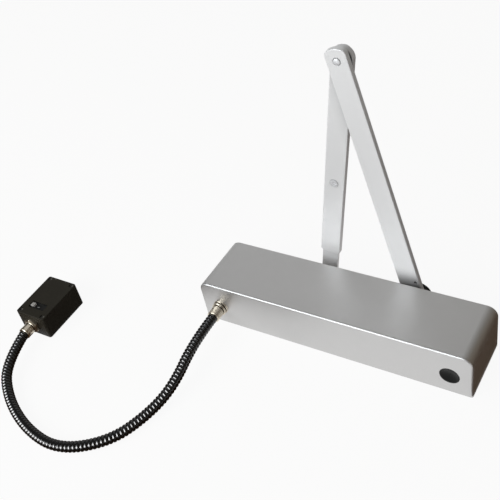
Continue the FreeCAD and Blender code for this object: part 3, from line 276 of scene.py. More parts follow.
def object_axes(tree):
    """The same coordinates, one socket for each axis."""
    node = tree.nodes.new("ShaderNodeSeparateXYZ")
    wire(tree, object_place(tree), node.inputs[0])
    return node.outputs


def centred(tree, value, share):
    """A noise's swing to both sides of nought, times a share."""
    return maths(tree, "MULTIPLY", maths(tree, "SUBTRACT", value, 0.5), share)


def scaled(tree, colour, factor):
    """A colour times a factor."""
    node = tree.nodes.new("ShaderNodeVectorMath")
    node.operation = "SCALE"
    wire(tree, colour, node.inputs[0])
    wire(tree, factor, node.inputs["Scale"])
    return node.outputs["Vector"]


def closed_in(tree, reach, low, high, own=False):
    """How closed in a surface is: 1 where what is open within the reach is below low, nought above high."""
    node = tree.nodes.new("ShaderNodeAmbientOcclusion")
    node.only_local = own
    node.inputs["Distance"].default_value = reach
    return spread(tree, node.outputs["AO"], low, high, 1.0, 0.0)


def raised(tree, height, strength, distance):
    """A normal that follows a height."""
    node = tree.nodes.new("ShaderNodeBump")
    set_inputs(node, {"Height": height, "Strength": strength, "Distance": distance})
    return node.outputs["Normal"]


def satin_group():
    """Sprayed metallic paint: flake, soft clouds, orange peel, and painted shade where another piece is
    close.
    """
    group, given, out = surface_group(
        "Satin spray",
        [
            ("Paint", COLOUR, (0.5, 0.5, 0.5, 1)),
            ("Flake", NUMBER, 0.06),
            ("Peel", NUMBER, 0.12),
            ("Roughness", NUMBER, 0.36),
            ("Painted gap shade", NUMBER, 0.0),
        ],
    )
    place = object_place(group)
    flake = centred(group, noise(group, place, scale=2600.0, detail=1.0), given["Flake"])
    cloud = centred(group, noise(group, place, scale=14.0, detail=3.0), share=0.05)
    smear = centred(group, noise(group, place, scale=95.0, detail=4.0, rough=0.6), share=0.12)
    # Painted shade: the colour darkens where another piece is close, standing in for the shade between
    # parts.
    near_piece = closed_in(group, reach=18 * MM, low=0.5, high=0.97)
    gap_shade = maths(group, "MULTIPLY", near_piece, given["Painted gap shade"])
    unshaded = maths(group, "SUBTRACT", 1.0, gap_shade)
    factor = maths(group, "ADD", maths(group, "ADD", flake, cloud), unshaded)
    wire(group, scaled(group, given["Paint"], factor), out["Color"])
    wire(group, maths(group, "ADD", given["Roughness"], smear), out["Roughness"])
    peel = noise(group, place, scale=900.0, detail=2.0)
    wire(group, raised(group, peel, given["Peel"], distance=0.06 * MM), out["Normal"])
    return group


def grain_group():
    """Machined or plated metal: streaks along one axis, tarnish in patches, painted shade in its own
    grooves.
    """
    group, given, out = surface_group(
        "Worked metal",
        [
            ("Metal", COLOUR, (0.5, 0.5, 0.5, 1)),
            ("Tarnish", COLOUR, (0.2, 0.18, 0.15, 1)),
            ("Tarnish share", NUMBER, 0.2),
            ("Stretch", VECTOR, (1.0, 1.0, 1.0)),
            ("Roughness", NUMBER, 0.3),
            ("Depth", NUMBER, 0.15),
            ("Painted groove shade", NUMBER, 0.0),
        ],
    )
    place = object_place(group)
    pull = group.nodes.new("ShaderNodeVectorMath")
    pull.operation = "MULTIPLY"
    wire(group, place, pull.inputs[0])
    wire(group, given["Stretch"], pull.inputs[1])
    streak = noise(group, pull.outputs["Vector"], scale=1400.0, detail=3.0, rough=0.6)
    patch = spread(group, noise(group, place, scale=160.0, detail=5.0, rough=0.65), 0.42, 0.72)
    tarnish = maths(group, "MULTIPLY", patch, given["Tarnish share"])
    # Painted shade: the piece's own grooves take the tarnish colour, standing in for the shade that falls in
    # them.
    groove = closed_in(group, reach=2 * MM, low=0.4, high=0.85, own=True)
    share = maths(group, "MAXIMUM", tarnish, maths(group, "MULTIPLY", groove, given["Painted groove shade"]))
    tarnished_and_shaded = mix(group, share, given["Metal"], given["Tarnish"])
    wire(group, scaled(group, tarnished_and_shaded, spread(group, streak, 0.3, 0.7, 0.9, 1.06)), out["Color"])
    rough = maths(group, "ADD", given["Roughness"], maths(group, "MULTIPLY", share, 0.3))
    wire(group, maths(group, "ADD", rough, centred(group, streak, 0.15)), out["Roughness"])
    wire(group, raised(group, streak, given["Depth"], distance=0.05 * MM), out["Normal"])
    return group


def moulded_group():
    """Moulded plastic or rubber: spark-eroded grain, faint scuffs and dust."""
    group, given, out = surface_group(
        "Moulded skin",
        [
            ("Plastic", COLOUR, (0.02, 0.02, 0.02, 1)),
            ("Scuff", COLOUR, (0.08, 0.075, 0.065, 1)),
            ("Scuff share", NUMBER, 0.25),
            ("Grain", NUMBER, 1500.0),
            ("Roughness", NUMBER, 0.5),
            ("Depth", NUMBER, 0.25),
        ],
    )
    place = object_place(group)
    grain = noise(group, place, scale=given["Grain"], detail=3.0, rough=0.6)
    cloud = spread(group, noise(group, place, scale=60.0, detail=4.0, rough=0.6), 0.45, 0.8)
    share = maths(group, "MULTIPLY", cloud, given["Scuff share"])
    wire(group, mix(group, share, given["Plastic"], given["Scuff"]), out["Color"])
    rough = maths(group, "ADD", given["Roughness"], centred(group, grain, 0.25))
    wire(group, maths(group, "ADD", rough, maths(group, "MULTIPLY", share, 0.4)), out["Roughness"])
    wire(group, raised(group, grain, given["Depth"], distance=0.08 * MM), out["Normal"])
    return group


def new_material(name):
    """A new material with its node tree and its Principled shader."""
    material = bpy.data.materials.new(name)
    material.use_nodes = True
    tree = material.node_tree
    return material, tree, tree.nodes["Principled BSDF"]


def finish_from(name, group, values, metallic, specular=0.5, coat=0.0):
    """A material with one group feeding its Principled shader, kept under its slot's name."""
    material, tree, shader = new_material(name + "_finish")
    finishes[name] = material
    node = tree.nodes.new("ShaderNodeGroup")
    node.node_tree = group
    set_inputs(node, values)
    for label, socket in (("Color", "Base Color"), ("Roughness", "Roughness"), ("Normal", "Normal")):
        wire(tree, node.outputs[label], shader.inputs[socket])
    set_inputs(shader, {"Metallic": metallic, "Specular IOR Level": specular})
    set_inputs(shader, {"Coat Weight": coat, "Coat Roughness": 0.1})
    colour = next(values[label] for label in ("Paint", "Metal", "Plastic") if label in values)
    material.diffuse_color = (*colour, 1.0)


def colour_bar(name, middle, half, colour):
    """Lays a small bar of flat colour into a finish, at a place in the part's own frame."""
    tree = finishes[name].node_tree
    shader = tree.nodes["Principled BSDF"]
    plain = shader.inputs["Base Color"].links[0].from_socket
    axes = object_axes(tree)
    inside = 1.0
    for axis, place, reach in zip("XY", middle, half):
        away = maths(tree, "ABSOLUTE", maths(tree, "SUBTRACT", axes[axis], place), 0.0)
        inside = maths(tree, "MULTIPLY", maths(tree, "LESS_THAN", away, reach), inside)
    wire(tree, mix(tree, inside, plain, colour), shader.inputs["Base Color"])


# mesh helpers


def sides_of(axis):
    """Two directions square to an axis."""
    axis = axis.normalized()
    first = axis.orthogonal().normalized()
    if abs(axis.z) < 0.9:
        # an axis that lies flat or leans has its first side towards the top
        first = (Z - axis * axis.dot(Z)).normalized()
    return first, axis.cross(first).normalized()


def turn_into(mesh, profile, origin, axis, around, shape=None, sink=None):
    """Adds a closed turned form from (radius, place along the axis) corners in millimetres.

    shape returns a factor on the radius for a place along the axis and an angle.
    sink returns how far a point is pressed in against the axis, for its two places across it.
    """
    first, second = sides_of(axis)
    rows = []
    for radius, along in profile:
        row = []
        for step in range(around if radius > 1e-6 else 1):
            angle = 2 * math.pi * step / around
            reach = radius * (shape(along, angle) if shape else 1.0)
            across, up = reach * math.cos(angle), reach * math.sin(angle)
            depth = along - (sink(across, up, along) if sink else 0.0)
            row.append(mesh.verts.new(origin + (axis * depth + first * across + second * up) * MM))
        rows.append(row)
    for low, high in zip(rows, rows[1:] + rows[:1]):
        if len(low) == 1 and len(high) == 1:
            continue
        for step in range(around):
            after = (step + 1) % around
            spots = ((low, step), (high, step), (high, after), (low, after))
            corners = [row[at % len(row)] for row, at in spots]
            mesh.faces.new(list(dict.fromkeys(corners)))


def lathe(name, profile, origin, axis, around=64, shape=None, angle=32.0):
    """A turned object."""
    mesh = bmesh.new()
    turn_into(mesh, profile, origin, axis, around, shape)
    return close_mesh(name, mesh, angle)


def flats(sides, start, end, chamfer=0.0):
    """A shape for turned forms: straight sides between two places on the axis, corners cut at both ends."""
    cut_corner = 0.92

    def factor(along, angle):
        if along < start or along > end:
            return 1.0
        step = 2 * math.pi / sides
        whole = math.cos(step / 2) / math.cos(angle % step - step / 2)
        return min(whole, cut_corner) if min(along - start, end - along) < chamfer else whole

    return factor


def cross_recess(reach, width, depth, top):
    """A sink for screw heads: a cross with tapering wings, cut into the head's top."""
    taper = 0.55

    def sink(across, up, along):
        wing, side = max(abs(across), abs(up)), min(abs(across), abs(up))
        if along < top or side > width or wing > reach:
            return 0.0
        return depth * (1.0 - taper * wing / reach)

    return sink


def screw_profile(head, height, crown, shank, length, rings=14):
    """Corners of a crowned head on a shank; the underside of the head is at nought."""
    rows = [(head * step / rings, height - crown * (step / rings) ** 2) for step in range(rings + 1)]
    return rows + [(head, 0.25 * height), (head * 0.97, 0.0), (shank, 0.0), (shank, -length), (0.0, -length)]


def cross_screws(name, spots, axis, head, height, shank, length):
    """Like screws with cross recesses in one object."""
    mesh = bmesh.new()
    crown = 0.3 * height
    top = height - crown - 1e-6
    sink = cross_recess(reach=0.62 * head, width=0.13 * head, depth=0.6 * height, top=top)
    for spot in spots:
        turn_into(mesh, screw_profile(head, height, crown, shank, length), spot, axis, around=56, sink=sink)
    return close_mesh(name, mesh, angle=38.0)


def put_in_scene(name, data):
    """A new object in the scene."""
    item = bpy.data.objects.new(name, data)
    bpy.context.scene.collection.objects.link(item)
    return item


def shade(data, angle):
    """Smooth shading, except at edges sharper than the angle in degrees."""
    data.shade_smooth()
    data.set_sharp_from_angle(angle=math.radians(angle))


def close_mesh(name, mesh, angle=32.0):
    """The finished mesh as an object, smooth except at sharp edges."""
    bmesh.ops.recalc_face_normals(mesh, faces=mesh.faces)
    data = bpy.data.meshes.new(name)
    mesh.to_mesh(data)
    mesh.free()
    shade(data, angle)
    return put_in_scene(name, data)


def evaluated_mesh(item):
    """A new mesh of an object, as its modifiers or its curve shape it."""
    bpy.context.view_layer.update()
    graph = bpy.context.evaluated_depsgraph_get()
    return bpy.data.meshes.new_from_object(item.evaluated_get(graph))


def apply_modifiers(item, angle=40.0):
    """Turns the modifiers' result into the object's own mesh."""
    data = evaluated_mesh(item)
    old = item.data
    item.modifiers.clear()
    item.data = data
    data.name = item.name
    bpy.data.meshes.remove(old)
    shade(data, angle)


def mesh_of_curve(curve):
    """The mesh that a curve gives; the curve itself is taken away."""
    holder = put_in_scene(curve.name, curve)
    data = evaluated_mesh(holder)
    bpy.data.objects.remove(holder)
    bpy.data.curves.remove(curve)
    return data


def soften(item, width_mm):
    """Small rounds on the sharp edges, kept as mesh."""
    rounder = item.modifiers.new("Rounds", "BEVEL")
    rounder.width = width_mm * MM
    rounder.segments = 2
    rounder.limit_method = "ANGLE"
    rounder.angle_limit = math.radians(35.0)
    apply_modifiers(item)
    return item


def ring_of(mesh, place, first, second, radii):
    """A ring of points round a place; its radii go round it in even steps."""
    ring = []
    for step, radius in enumerate(radii):
        turn = 2 * math.pi * step / len(radii)
        ring.append(mesh.verts.new(place + (first * math.cos(turn) + second * math.sin(turn)) * radius))
    return ring


def skin(mesh, rings):
    """Joins rings of points to a tube and closes both its ends."""
    for before, after in zip(rings, rings[1:]):
        for step in range(len(before)):
            beside = (step + 1) % len(before)
            mesh.faces.new((before[step], before[beside], after[beside], after[step]))
    mesh.faces.new(list(reversed(rings[0])))
    mesh.faces.new(rings[-1])


def dress(item, *nodes):
    """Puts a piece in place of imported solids, with the finish and the body of the first of them."""
    slot = slot_of[nodes[0]]
    item.data.materials.clear()
    item.data.materials.append(finishes[slot])
    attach(item, body_of[nodes[0]])
    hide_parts(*nodes)
    stand_ins.update({node: item for node in nodes})
    return item


class CLOSER_OT_finishes(bpy.types.Operator):
    """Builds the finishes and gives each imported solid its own"""

    bl_idname = "closer.finishes"
    bl_label = "Finishes"

    def execute(self, context):
        look = context.scene.closer_colours
        self.paints(look, satin_group())
        self.metals(look, grain_group())
        self.plastics(look, moulded_group())
        for node, slot in slot_of.items():
            solid = frame["nodes"][node]
            solid.data.materials.clear()
            solid.data.materials.append(finishes[slot])
        return {"FINISHED"}

    def paints(self, look, group):
        """Sprayed paints: colour, flake, peel, roughness, metallic and painted gap shade of each."""
        rows = {
            "cover_paint": (look.cover_silver, 0.05, 0.10, 0.46, 0.92, 0.0),
            "arm_paint": (look.arm_silver, 0.03, 0.05, 0.44, 0.3, 0.6),
        }
        for name, (colour, flake, peel, rough, metallic, gap_shade) in rows.items():
            values = {"Paint": colour, "Flake": flake, "Peel": peel, "Roughness": rough, "Painted gap shade": gap_shade}
            finish_from(name, group, values, metallic)

    def metals(self, look, group):
        """Bare and plated metals: colour, tarnish and its share, stretch, roughness and depth of each."""
        dull, oily = (0.16, 0.15, 0.14), (0.05, 0.045, 0.04)
        even, long_x, long_y = (1.0, 1.0, 1.0), (0.05, 1.0, 1.0), (1.0, 0.05, 1.0)
        rows = {
            "nickel_brass": (look.nickel, (0.10, 0.065, 0.035), 0.10, long_y, 0.27, 0.04),
            "zinc_steel": (look.zinc, dull, 0.22, long_x, 0.34, 0.05),
            "steel_screws": (look.zinc, dull, 0.18, even, 0.30, 0.10),
            "rivet_steel": (look.rivet_pale, dull, 0.05, even, 0.62, 0.06),
            "turned_steel": (look.bright_steel, dull, 0.16, even, 0.25, 0.12),
            "spring_steel": (look.spring_grey, oily, 0.5, even, 0.35, 0.15),
            "cast_body": (look.cast_metal, dull, 0.25, (0.4, 0.4, 0.4), 0.48, 0.45),
            "bronze": (look.bronze, (0.15, 0.08, 0.03), 0.3, even, 0.38, 0.2),
            "brass_valves": (look.brass, (0.22, 0.12, 0.04), 0.25, even, 0.26, 0.1),
            "copper_wire": (look.copper, (0.12, 0.03, 0.01), 0.3, (6.0, 0.2, 0.2), 0.28, 0.8),
            "black_screws": (look.screw_black, (0.08, 0.075, 0.06), 0.3, even, 0.30, 0.1),
        }
        for name, (colour, stain, share, stretch, rough, depth) in rows.items():
            # Painted groove shade, strongest on the glands.
            values = {
                "Metal": colour, "Tarnish": stain, "Tarnish share": share, "Stretch": stretch,
                "Roughness": rough, "Depth": depth, "Painted groove shade": 0.9 if name == "nickel_brass" else 0.3,
            }
            finish_from(name, group, values, 1.0)

    def plastics(self, look, group):
        """Plastics and rubber: colour, scuff, its share, grain, roughness, depth, coat and shine of each."""
        grey = (0.09, 0.085, 0.075)
        rows = {
            "conduit_black": (look.conduit_black, (0.012, 0.012, 0.012), 0.3, 2200.0, 0.11, 0.02, 1.0, 0.1),
            "box_black": (look.box_black, (0.034, 0.030, 0.021), 0.4, 1700.0, 0.42, 0.30, 0.0, 0.12),
            "black_plastic": (look.trim_black, grey, 0.12, 1600.0, 0.28, 0.10, 0.0, 0.12),
            "black_rubber": (look.trim_black, grey, 0.25, 1200.0, 0.62, 0.25, 0.0, 0.2),
            "switch_black": (look.switch_black, grey, 0.12, 2000.0, 0.28, 0.08, 0.0, 0.4),
            "switch_pale": (look.knob_pale, (0.42, 0.38, 0.32), 0.3, 2000.0, 0.32, 0.08, 0.0, 0.5),
            "bobbin_plastic": (look.bobbin_black, grey, 0.2, 1500.0, 0.45, 0.2, 0.0, 0.4),
            "board_green": (look.board_green, (0.05, 0.20, 0.09), 0.4, 700.0, 0.25, 0.05, 0.2, 0.5),
            "terminal_grey": (look.terminal_grey, (0.22, 0.22, 0.22), 0.3, 1500.0, 0.45, 0.15, 0.0, 0.4),
        }
        for name, (colour, scuff, share, size, rough, depth, coat, shine) in rows.items():
            values = {
                "Plastic": colour, "Scuff": scuff, "Scuff share": share, "Grain": size,
                "Roughness": rough, "Depth": depth,
            }
            finish_from(name, group, values, 0.0, specular=shine, coat=coat)


def middle_of(node):
    """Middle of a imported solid's box."""
    low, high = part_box(node)
    return (low + high) / 2


def barrel(start, end):
    """Corners of a gland's clamping barrel, with a groove before its end ring."""
    return [
        (5.9, start), (5.9, start + 0.8), (6.8, start + 1.0), (6.8, end - 2.6), (6.5, end - 2.4),
        (6.5, end - 2.0), (6.9, end - 1.8), (6.9, end - 0.5), (6.5, end), (4.0, end),
    ]


class CLOSER_OT_glands(bpy.types.Operator):
    """Turns the two cable glands, with their grooves, flats and hexagon"""

    bl_idname = "closer.glands"
    bl_label = "Cable glands"

    def execute(self, context):
        neck = [(4.0, -7.0), (6.0, -7.0)]
        flange = [(6.0, 0.0), (8.5, 0.0), (8.5, 1.2), (8.2, 1.6), (6.4, 1.6), (6.4, 2.7)]
        ring = [(7.7, 2.8), (8.0, 3.1), (8.0, 4.7), (7.7, 5.1)]
        origin, length = self.seat("cover", "cover_gland")
        profile = neck + flange + ring + barrel(5.2, length)
        ten = flats(sides=10, start=6.3, end=length - 3.3)
        item = lathe("cover_gland_turned", profile, origin, -Y, around=80, shape=ten)
        dress(item, "cover_gland")
        corner = 8.5 / math.cos(math.pi / 6)
        hexagon = [(6.0, -0.02), (corner, 0.0), (corner, 0.6), (corner, 3.4), (corner, 4.0)]
        collar = [(7.5, 4.05), (7.5, 4.9), (7.2, 5.2)]
        origin, length = self.seat("box_base", "box_gland")
        six = flats(sides=6, start=0.0, end=4.0, chamfer=0.5)
        ten = flats(sides=10, start=6.0, end=length - 3.3)
        profile = neck + hexagon + collar + barrel(5.2, length)
        item = lathe(
            "box_gland_turned", profile, origin, -Y, around=120, shape=lambda *spot: six(*spot) * ten(*spot)
        )
        dress(item, "box_gland")
        return {"FINISHED"}

    def seat(self, host, gland):
        """Where a gland leaves its host's near face, and how far it stands out in millimetres."""
        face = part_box(host)[0].y
        place = middle_of(gland)
        return Vector((place.x, face, place.z)), (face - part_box(gland)[0].y) / MM


class CLOSER_OT_screws(bpy.types.Operator):
    """Makes the cross-headed screws and the clamp nut"""

    bl_idname = "closer.screws"
    bl_label = "Screws"

    def execute(self, context):
        head, height = 2.7, 1.8
        low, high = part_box("lid_screws")
        columns, rows = self.inset(low.x, high.x, head), self.inset(low.y, high.y, head)
        spots = [Vector((x, y, high.z - height * MM)) for x in columns for y in rows]
        item = cross_screws("lid_screw_heads", spots, Z, head, height, shank=1.5, length=13.0)
        dress(item, "lid_screws")
        head, height = 3.5, 2.2
        low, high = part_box("cover_screws")
        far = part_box("cover")[1].y
        spots = [Vector((x, far, (low.z + high.z) / 2)) for x in self.inset(low.x, high.x, head)]
        item = cross_screws("cover_screw_heads", spots, Y, head, height, shank=2.0, length=5.6)
        dress(item, "cover_screws")
        head, height, shank = 4.2, 1.0, 2.5
        place = middle_of("clamp_screw")
        near, back = (corner.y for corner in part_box("forearm_sleeve"))
        length = (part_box("clamp_nut")[1].y - near) / MM
        spot = Vector((place.x, near, place.z))
        item = cross_screws("clamp_screw_head", [spot], -Y, head, height, shank, length)
        dress(item, "clamp_screw")
        corner, tall, chamfer = 4.6, 3.2, 0.4
        profile = [(shank, 0.0), (corner, 0.0), (corner, chamfer), (corner, tall - chamfer)]
        profile += [(corner, tall), (shank, tall)]
        spot = Vector((place.x, back, place.z))
        six = flats(sides=6, start=0.0, end=tall, chamfer=0.3)
        dress(lathe("clamp_nut_turned", profile, spot, Y, around=72, shape=six), "clamp_nut")
        return {"FINISHED"}

    def inset(self, low, high, radius):
        """Middles of two round heads from the ends of their common box."""
        return low + radius * MM, high - radius * MM


class CLOSER_OT_pivots(bpy.types.Operator):
    """Turns the elbow rivet, the foot pin and the arm's snap cap"""

    bl_idname = "closer.pivots"
    bl_label = "Pivots and cap"

    def execute(self, context):
        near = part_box("main_arm")[0].y
        reach = (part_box("elbow_pin")[1].y - near) / MM
        dome = [(3.4 * math.sin(turn), -1.2 * math.cos(turn)) for turn in self.steps(10)]
        head = [(7.5, reach - 2.0), (7.5, reach - 1.1), (6.6, reach - 0.4), (4.2, reach), (0.0, reach)]
        profile = dome + [(3.4, reach - 2.0)] + head
        place = middle_of("elbow_pin")
        dress(lathe("elbow_rivet", profile, Vector((place.x, near, place.z)), Y), "elbow_pin")
        place = middle_of("foot_pin")
        half = (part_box("foot_pin")[1].y - place.y) / MM
        end = [(5.5, half - 1.5), (5.4, half - 0.9), (4.6, half - 0.3), (2.6, half), (0.0, half)]
        profile = [(radius, -along) for radius, along in reversed(end)]
        profile += [(4.0, 1.5 - half), (4.0, half - 1.5)] + end
        dress(lathe("foot_pin_turned", profile, place, Y), "foot_pin")
        place = middle_of("arm_cap")
        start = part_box("arm_cap")[0].y
        tall = (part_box("arm_cap")[1].y - start) / MM
        profile = [(10.0, 0.0), (14.0, 0.0), (14.0, tall - 2.2), (13.6, tall - 1.1), (12.6, tall - 0.3)]
        profile += [(11.4, tall), (9.6, tall), (8.8, tall - 0.4), (8.2, tall - 0.7), (0.0, tall - 0.9)]
        profile += [(0.0, tall - 1.5), (10.0, tall - 1.5)]
        dress(lathe("arm_cap_turned", profile, Vector((place.x, start, place.z)), Y, around=96), "arm_cap")
        return {"FINISHED"}

    def steps(self, count):
        """Even turns from nought to a quarter turn."""
        return [math.pi / 2 * step / count for step in range(count + 1)]


class CLOSER_OT_plug(bpy.types.Operator):
    """Turns the dished plug of the spare cable entry"""

    bl_idname = "closer.plug"
    bl_label = "Blanking plug"

    def execute(self, context):
        place = middle_of("blanking_plug")
        origin = Vector((place.x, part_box("cover")[0].y, place.z))
        rim, recess, hollow, rings = 8.8, 0.4, 1.8, 14
        shares = [step / rings for step in range(1, rings + 1)]
        dish = [(rim * share, -recess - hollow * (1.0 - share**2)) for share in shares]
        pip = [(0.0, -2.0), (0.45, -2.05), (0.6, -2.2)]
        edge = [(9.2, -0.4), (9.7, -0.45), (10.0, -0.75), (10.0, -1.6), (12.0, -1.6), (12.0, -3.1)]
        back = [(10.0, -3.1), (10.0, -4.4), (0.0, -4.4)]
        profile = pip + dish + edge + back
        dress(lathe("plug_dished", profile, origin, -Y, around=72, angle=40.0), "blanking_plug")
        return {"FINISHED"}


class CLOSER_OT_switch(bpy.types.Operator):
    """Makes the ridged knob of the slide switch"""

    bl_idname = "closer.switch"
    bl_label = "Switch knob"

    def execute(self, context):
        low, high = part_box("switch_knob")
        middle = (low + high) / 2
        tall = (high.z - low.z) / MM
        foot = (high.x - low.x) / MM / 2
        half = [(0.28, tall), (0.5, tall - 0.5), (0.9, tall - 0.5), (1.15, tall), (1.8, tall)]
        half += [(2.2, tall - 0.4), (2.2, 1.2), (foot, 1.2), (foot, 0.0)]
        outline = half + [(-across, up) for across, up in reversed(half)]
        mesh = bmesh.new()
        ends = []
        for side in (low.y, high.y):
            ends.append([mesh.verts.new((middle.x + x * MM, side, low.z + z * MM)) for x, z in outline])
        skin(mesh, ends)
        dress(soften(close_mesh("knob_ridged", mesh), 0.12), "switch_knob")
        # A small grey tick beside the knob, a flat colour in the switch body's finish.
        tick = middle + Vector((7.0, -0.3, 0.0)) * MM
        tick_half, tick_grey = (1.5 * MM, 0.65 * MM), (0.22, 0.22, 0.21)
        colour_bar("switch_black", tick, tick_half, tick_grey)
        return {"FINISHED"}


def arc(middle, radius, start, end, count=12):
    """Points of an arc between two angles in radians."""
    turns = [start + (end - start) * step / count for step in range(count + 1)]
    return [middle + Vector((math.cos(turn), math.sin(turn))) * radius for turn in turns]


def rounded_corner(before, corner, after, radius):
    """Points of the arc that rounds a corner between two straight sides."""
    back, on = (before - corner).normalized(), (after - corner).normalized()
    half = back.angle(on) / 2
    middle = corner + (back + on).normalized() * radius / math.sin(half)
    first = corner + back * radius / math.tan(half) - middle
    last = corner + on * radius / math.tan(half) - middle
    start = math.atan2(first.y, first.x)
    return arc(middle, radius, start, start + last.angle_signed(first))


class CLOSER_OT_arm(bpy.types.Operator):
    """Shapes the main arm with its crowned end, round eye and softened edges"""

    bl_idname = "closer.arm"
    bl_label = "Main arm"

    def execute(self, context):
        size = context.scene.closer_arm
        pivot, elbow = (Vector(joint_of[name]["pos_m"]) for name in ("arm_swing", "elbow_fold"))
        low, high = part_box("main_arm")
        up = elbow - pivot
        up.y = 0.0
        reach = up.length
        up.normalize()
        across = Y.cross(up)
        thick = high.y - low.y
        half = size.square / 2
        square = []
        for a, b in ((-1, -1), (1, -1), (1, 1), (-1, 1)):
            square.append((half * (across.x * a + across.z * b), half * (across.x * b - across.z * a)))
        pin_hole = arc(Vector((0, reach)), size.pin_radius, 0, 2 * math.pi, count=48)[:-1]
        item = self.plate([self.outline(size, reach), square, pin_hole], thick, size.edge_round)
        middle = Vector((pivot.x, (low.y + high.y) / 2, pivot.z))
        for vertex in item.data.vertices:
            side, rise, front = vertex.co
            vertex.co = middle + across * side + up * rise - Y * front
        spot = Vector((pivot.x, low.y, pivot.z)) + across * size.mark_side + up * size.mark_up
        radius, depth = size.mark_radius / MM, size.mark_depth / MM
        profile = [(0.0, -1.0), (radius, -1.0), (radius, depth), (0.0, depth)]
        drill = lathe("index_drill", profile, spot, Y, around=32)
        cut = item.modifiers.new("Index hole", "BOOLEAN")
        cut.operation = "DIFFERENCE"
        cut.object = drill
        apply_modifiers(item, ARM_EDGE)
        bpy.data.objects.remove(drill)
        dress(item, "main_arm")
        return {"FINISHED"}

    def outline(self, size, reach):
        """The arm seen from the front: eye, hollow blends, tapering sides and crowned end."""
        out = size.base_half + size.blend_radius
        rise = math.sqrt((size.eye_radius + size.blend_radius) ** 2 - out**2)
        lean = math.atan2(rise, out)
        blend = arc(Vector((out, rise)), size.blend_radius, math.pi + lean, math.pi, count=6)
        left_blend = [Vector((-point.x, point.y)) for point in reversed(blend)]
        eye = arc(Vector((0, 0)), size.eye_radius, math.pi - lean, 2 * math.pi + lean, count=48)
        right = Vector((size.tip_half, reach + size.shoulder))
        left = Vector((-right.x, right.y))
        peak = Vector((0, reach + size.peak))
        crown = rounded_corner(blend[-1], right, peak, size.corner_round)
        crown += rounded_corner(right, peak, left, size.crown_round)
        crown += rounded_corner(peak, left, left_blend[0], size.corner_round)
        return left_blend[:-1] + eye + blend[1:] + crown

    def plate(self, loops, thick, edge_round):
        """A flat plate from an outline and its holes, with rounded edges."""
        curve = bpy.data.curves.new("arm_outline", "CURVE")
        curve.dimensions = "2D"
        curve.fill_mode = "BOTH"
        curve.extrude = thick / 2 - edge_round
        curve.bevel_depth = edge_round
        curve.bevel_resolution = 3
        curve.offset = -edge_round
        for loop in loops:
            spline = curve.splines.new("POLY")
            spline.points.add(len(loop) - 1)
            for point, place in zip(spline.points, loop):
                point.co = (*place, 0.0, 1.0)
            spline.use_cyclic_u = True
        data = mesh_of_curve(curve)
        mesh = bmesh.new()
        mesh.from_mesh(data)
        bpy.data.meshes.remove(data)
        bmesh.ops.remove_doubles(mesh, verts=mesh.verts, dist=1e-6)
        return close_mesh("main_arm_bar", mesh, ARM_EDGE)


class CLOSER_OT_spring(bpy.types.Operator):
    """Winds the main spring, which shortens as the piston travels"""

    bl_idname = "closer.spring"
    bl_label = "Main spring"

    def execute(self, context):
        size = context.scene.closer_spring
        low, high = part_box("main_spring")
        middle, long = (low + high) / 2, high.x - low.x
        coil = (high.y - low.y) / 2 - size.wire_radius
        start, whole = low.x + size.wire_radius, long - 2 * size.wire_radius
        count = size.turns * size.per_turn
        mesh = bmesh.new()
        rings = []
        for step in range(count + 1):
            turn = 2 * math.pi * step / size.per_turn
            out = Vector((0, math.cos(turn), math.sin(turn)))
            place = Vector((start + whole * step / count, middle.y, middle.z)) + out * coil
            rings.append(ring_of(mesh, place, out, X, [size.wire_radius] * size.around))
        skin(mesh, rings)
        spring = dress(close_mesh("main_spring_wound", mesh), "main_spring")
        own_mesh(spring)
        return {"FINISHED"}


def line_points(route, steps):
    """Points read from one smooth spline along the route."""
    curve = bpy.data.curves.new("conduit_line", "CURVE")
    curve.dimensions = "3D"
    curve.resolution_u = steps
    spline = curve.splines.new("NURBS")
    spline.points.add(len(route) - 1)
    for point, place in zip(spline.points, route):
        point.co = (*place, 1.0)
    spline.order_u = 3
    spline.use_endpoint_u = True
    data = mesh_of_curve(curve)
    points = [vertex.co.copy() for vertex in data.vertices]
    bpy.data.meshes.remove(data)
    return points


def along_line(points, gap):
    """Places, directions and distances from the start, at an even gap along a line of points."""
    marks = [0.0]
    for before, after in zip(points, points[1:]):
        marks.append(marks[-1] + (after - before).length)
    whole = marks[-1]
    count = max(2, round(whole / gap))
    found = []
    index = 0
    for step in range(count + 1):
        want = whole * step / count
        while index < len(points) - 2 and marks[index + 1] < want:
            index += 1
        share = (want - marks[index]) / max(1e-9, marks[index + 1] - marks[index])
        found.append((points[index].lerp(points[index + 1], share), want))
    rows = []
    for step, (place, want) in enumerate(found):
        before = found[max(0, step - 1)][0]
        after = found[min(count, step + 1)][0]
        rows.append((place, (after - before).normalized(), want))
    return rows


class CLOSER_OT_conduit(bpy.types.Operator):
    """Winds the spiral ribs of the conduit along its line"""

    bl_idname = "closer.conduit"
    bl_label = "Ribbed conduit"

    def execute(self, context):
        size = context.scene.closer_conduit
        rows = along_line(line_points(CONDUIT_ROUTE, steps=48), size.rib_pitch / size.per_rib)
        outer = size.diameter / 2
        half = size.rib_pitch / 2
        hoop = (half**2 + size.rib_depth**2) / (2 * size.rib_depth)
        up = sides_of(rows[0][1])[0]
        mesh = bmesh.new()
        rings = []
        for place, way, mark in rows:
            up = (up - way * way.dot(up)).normalized()
            radii = []
            for step in range(size.around):
                phase = (mark / size.rib_pitch + step / size.around) % 1.0
                radii.append(outer - hoop + math.sqrt(hoop**2 - (half * (2 * phase - 1)) ** 2))
            rings.append(ring_of(mesh, place, up, way.cross(up), radii))
        skin(mesh, rings)
        ribs = dress(close_mesh("conduit_ribbed", mesh, angle=75.0), "conduit")
        return {"FINISHED"}


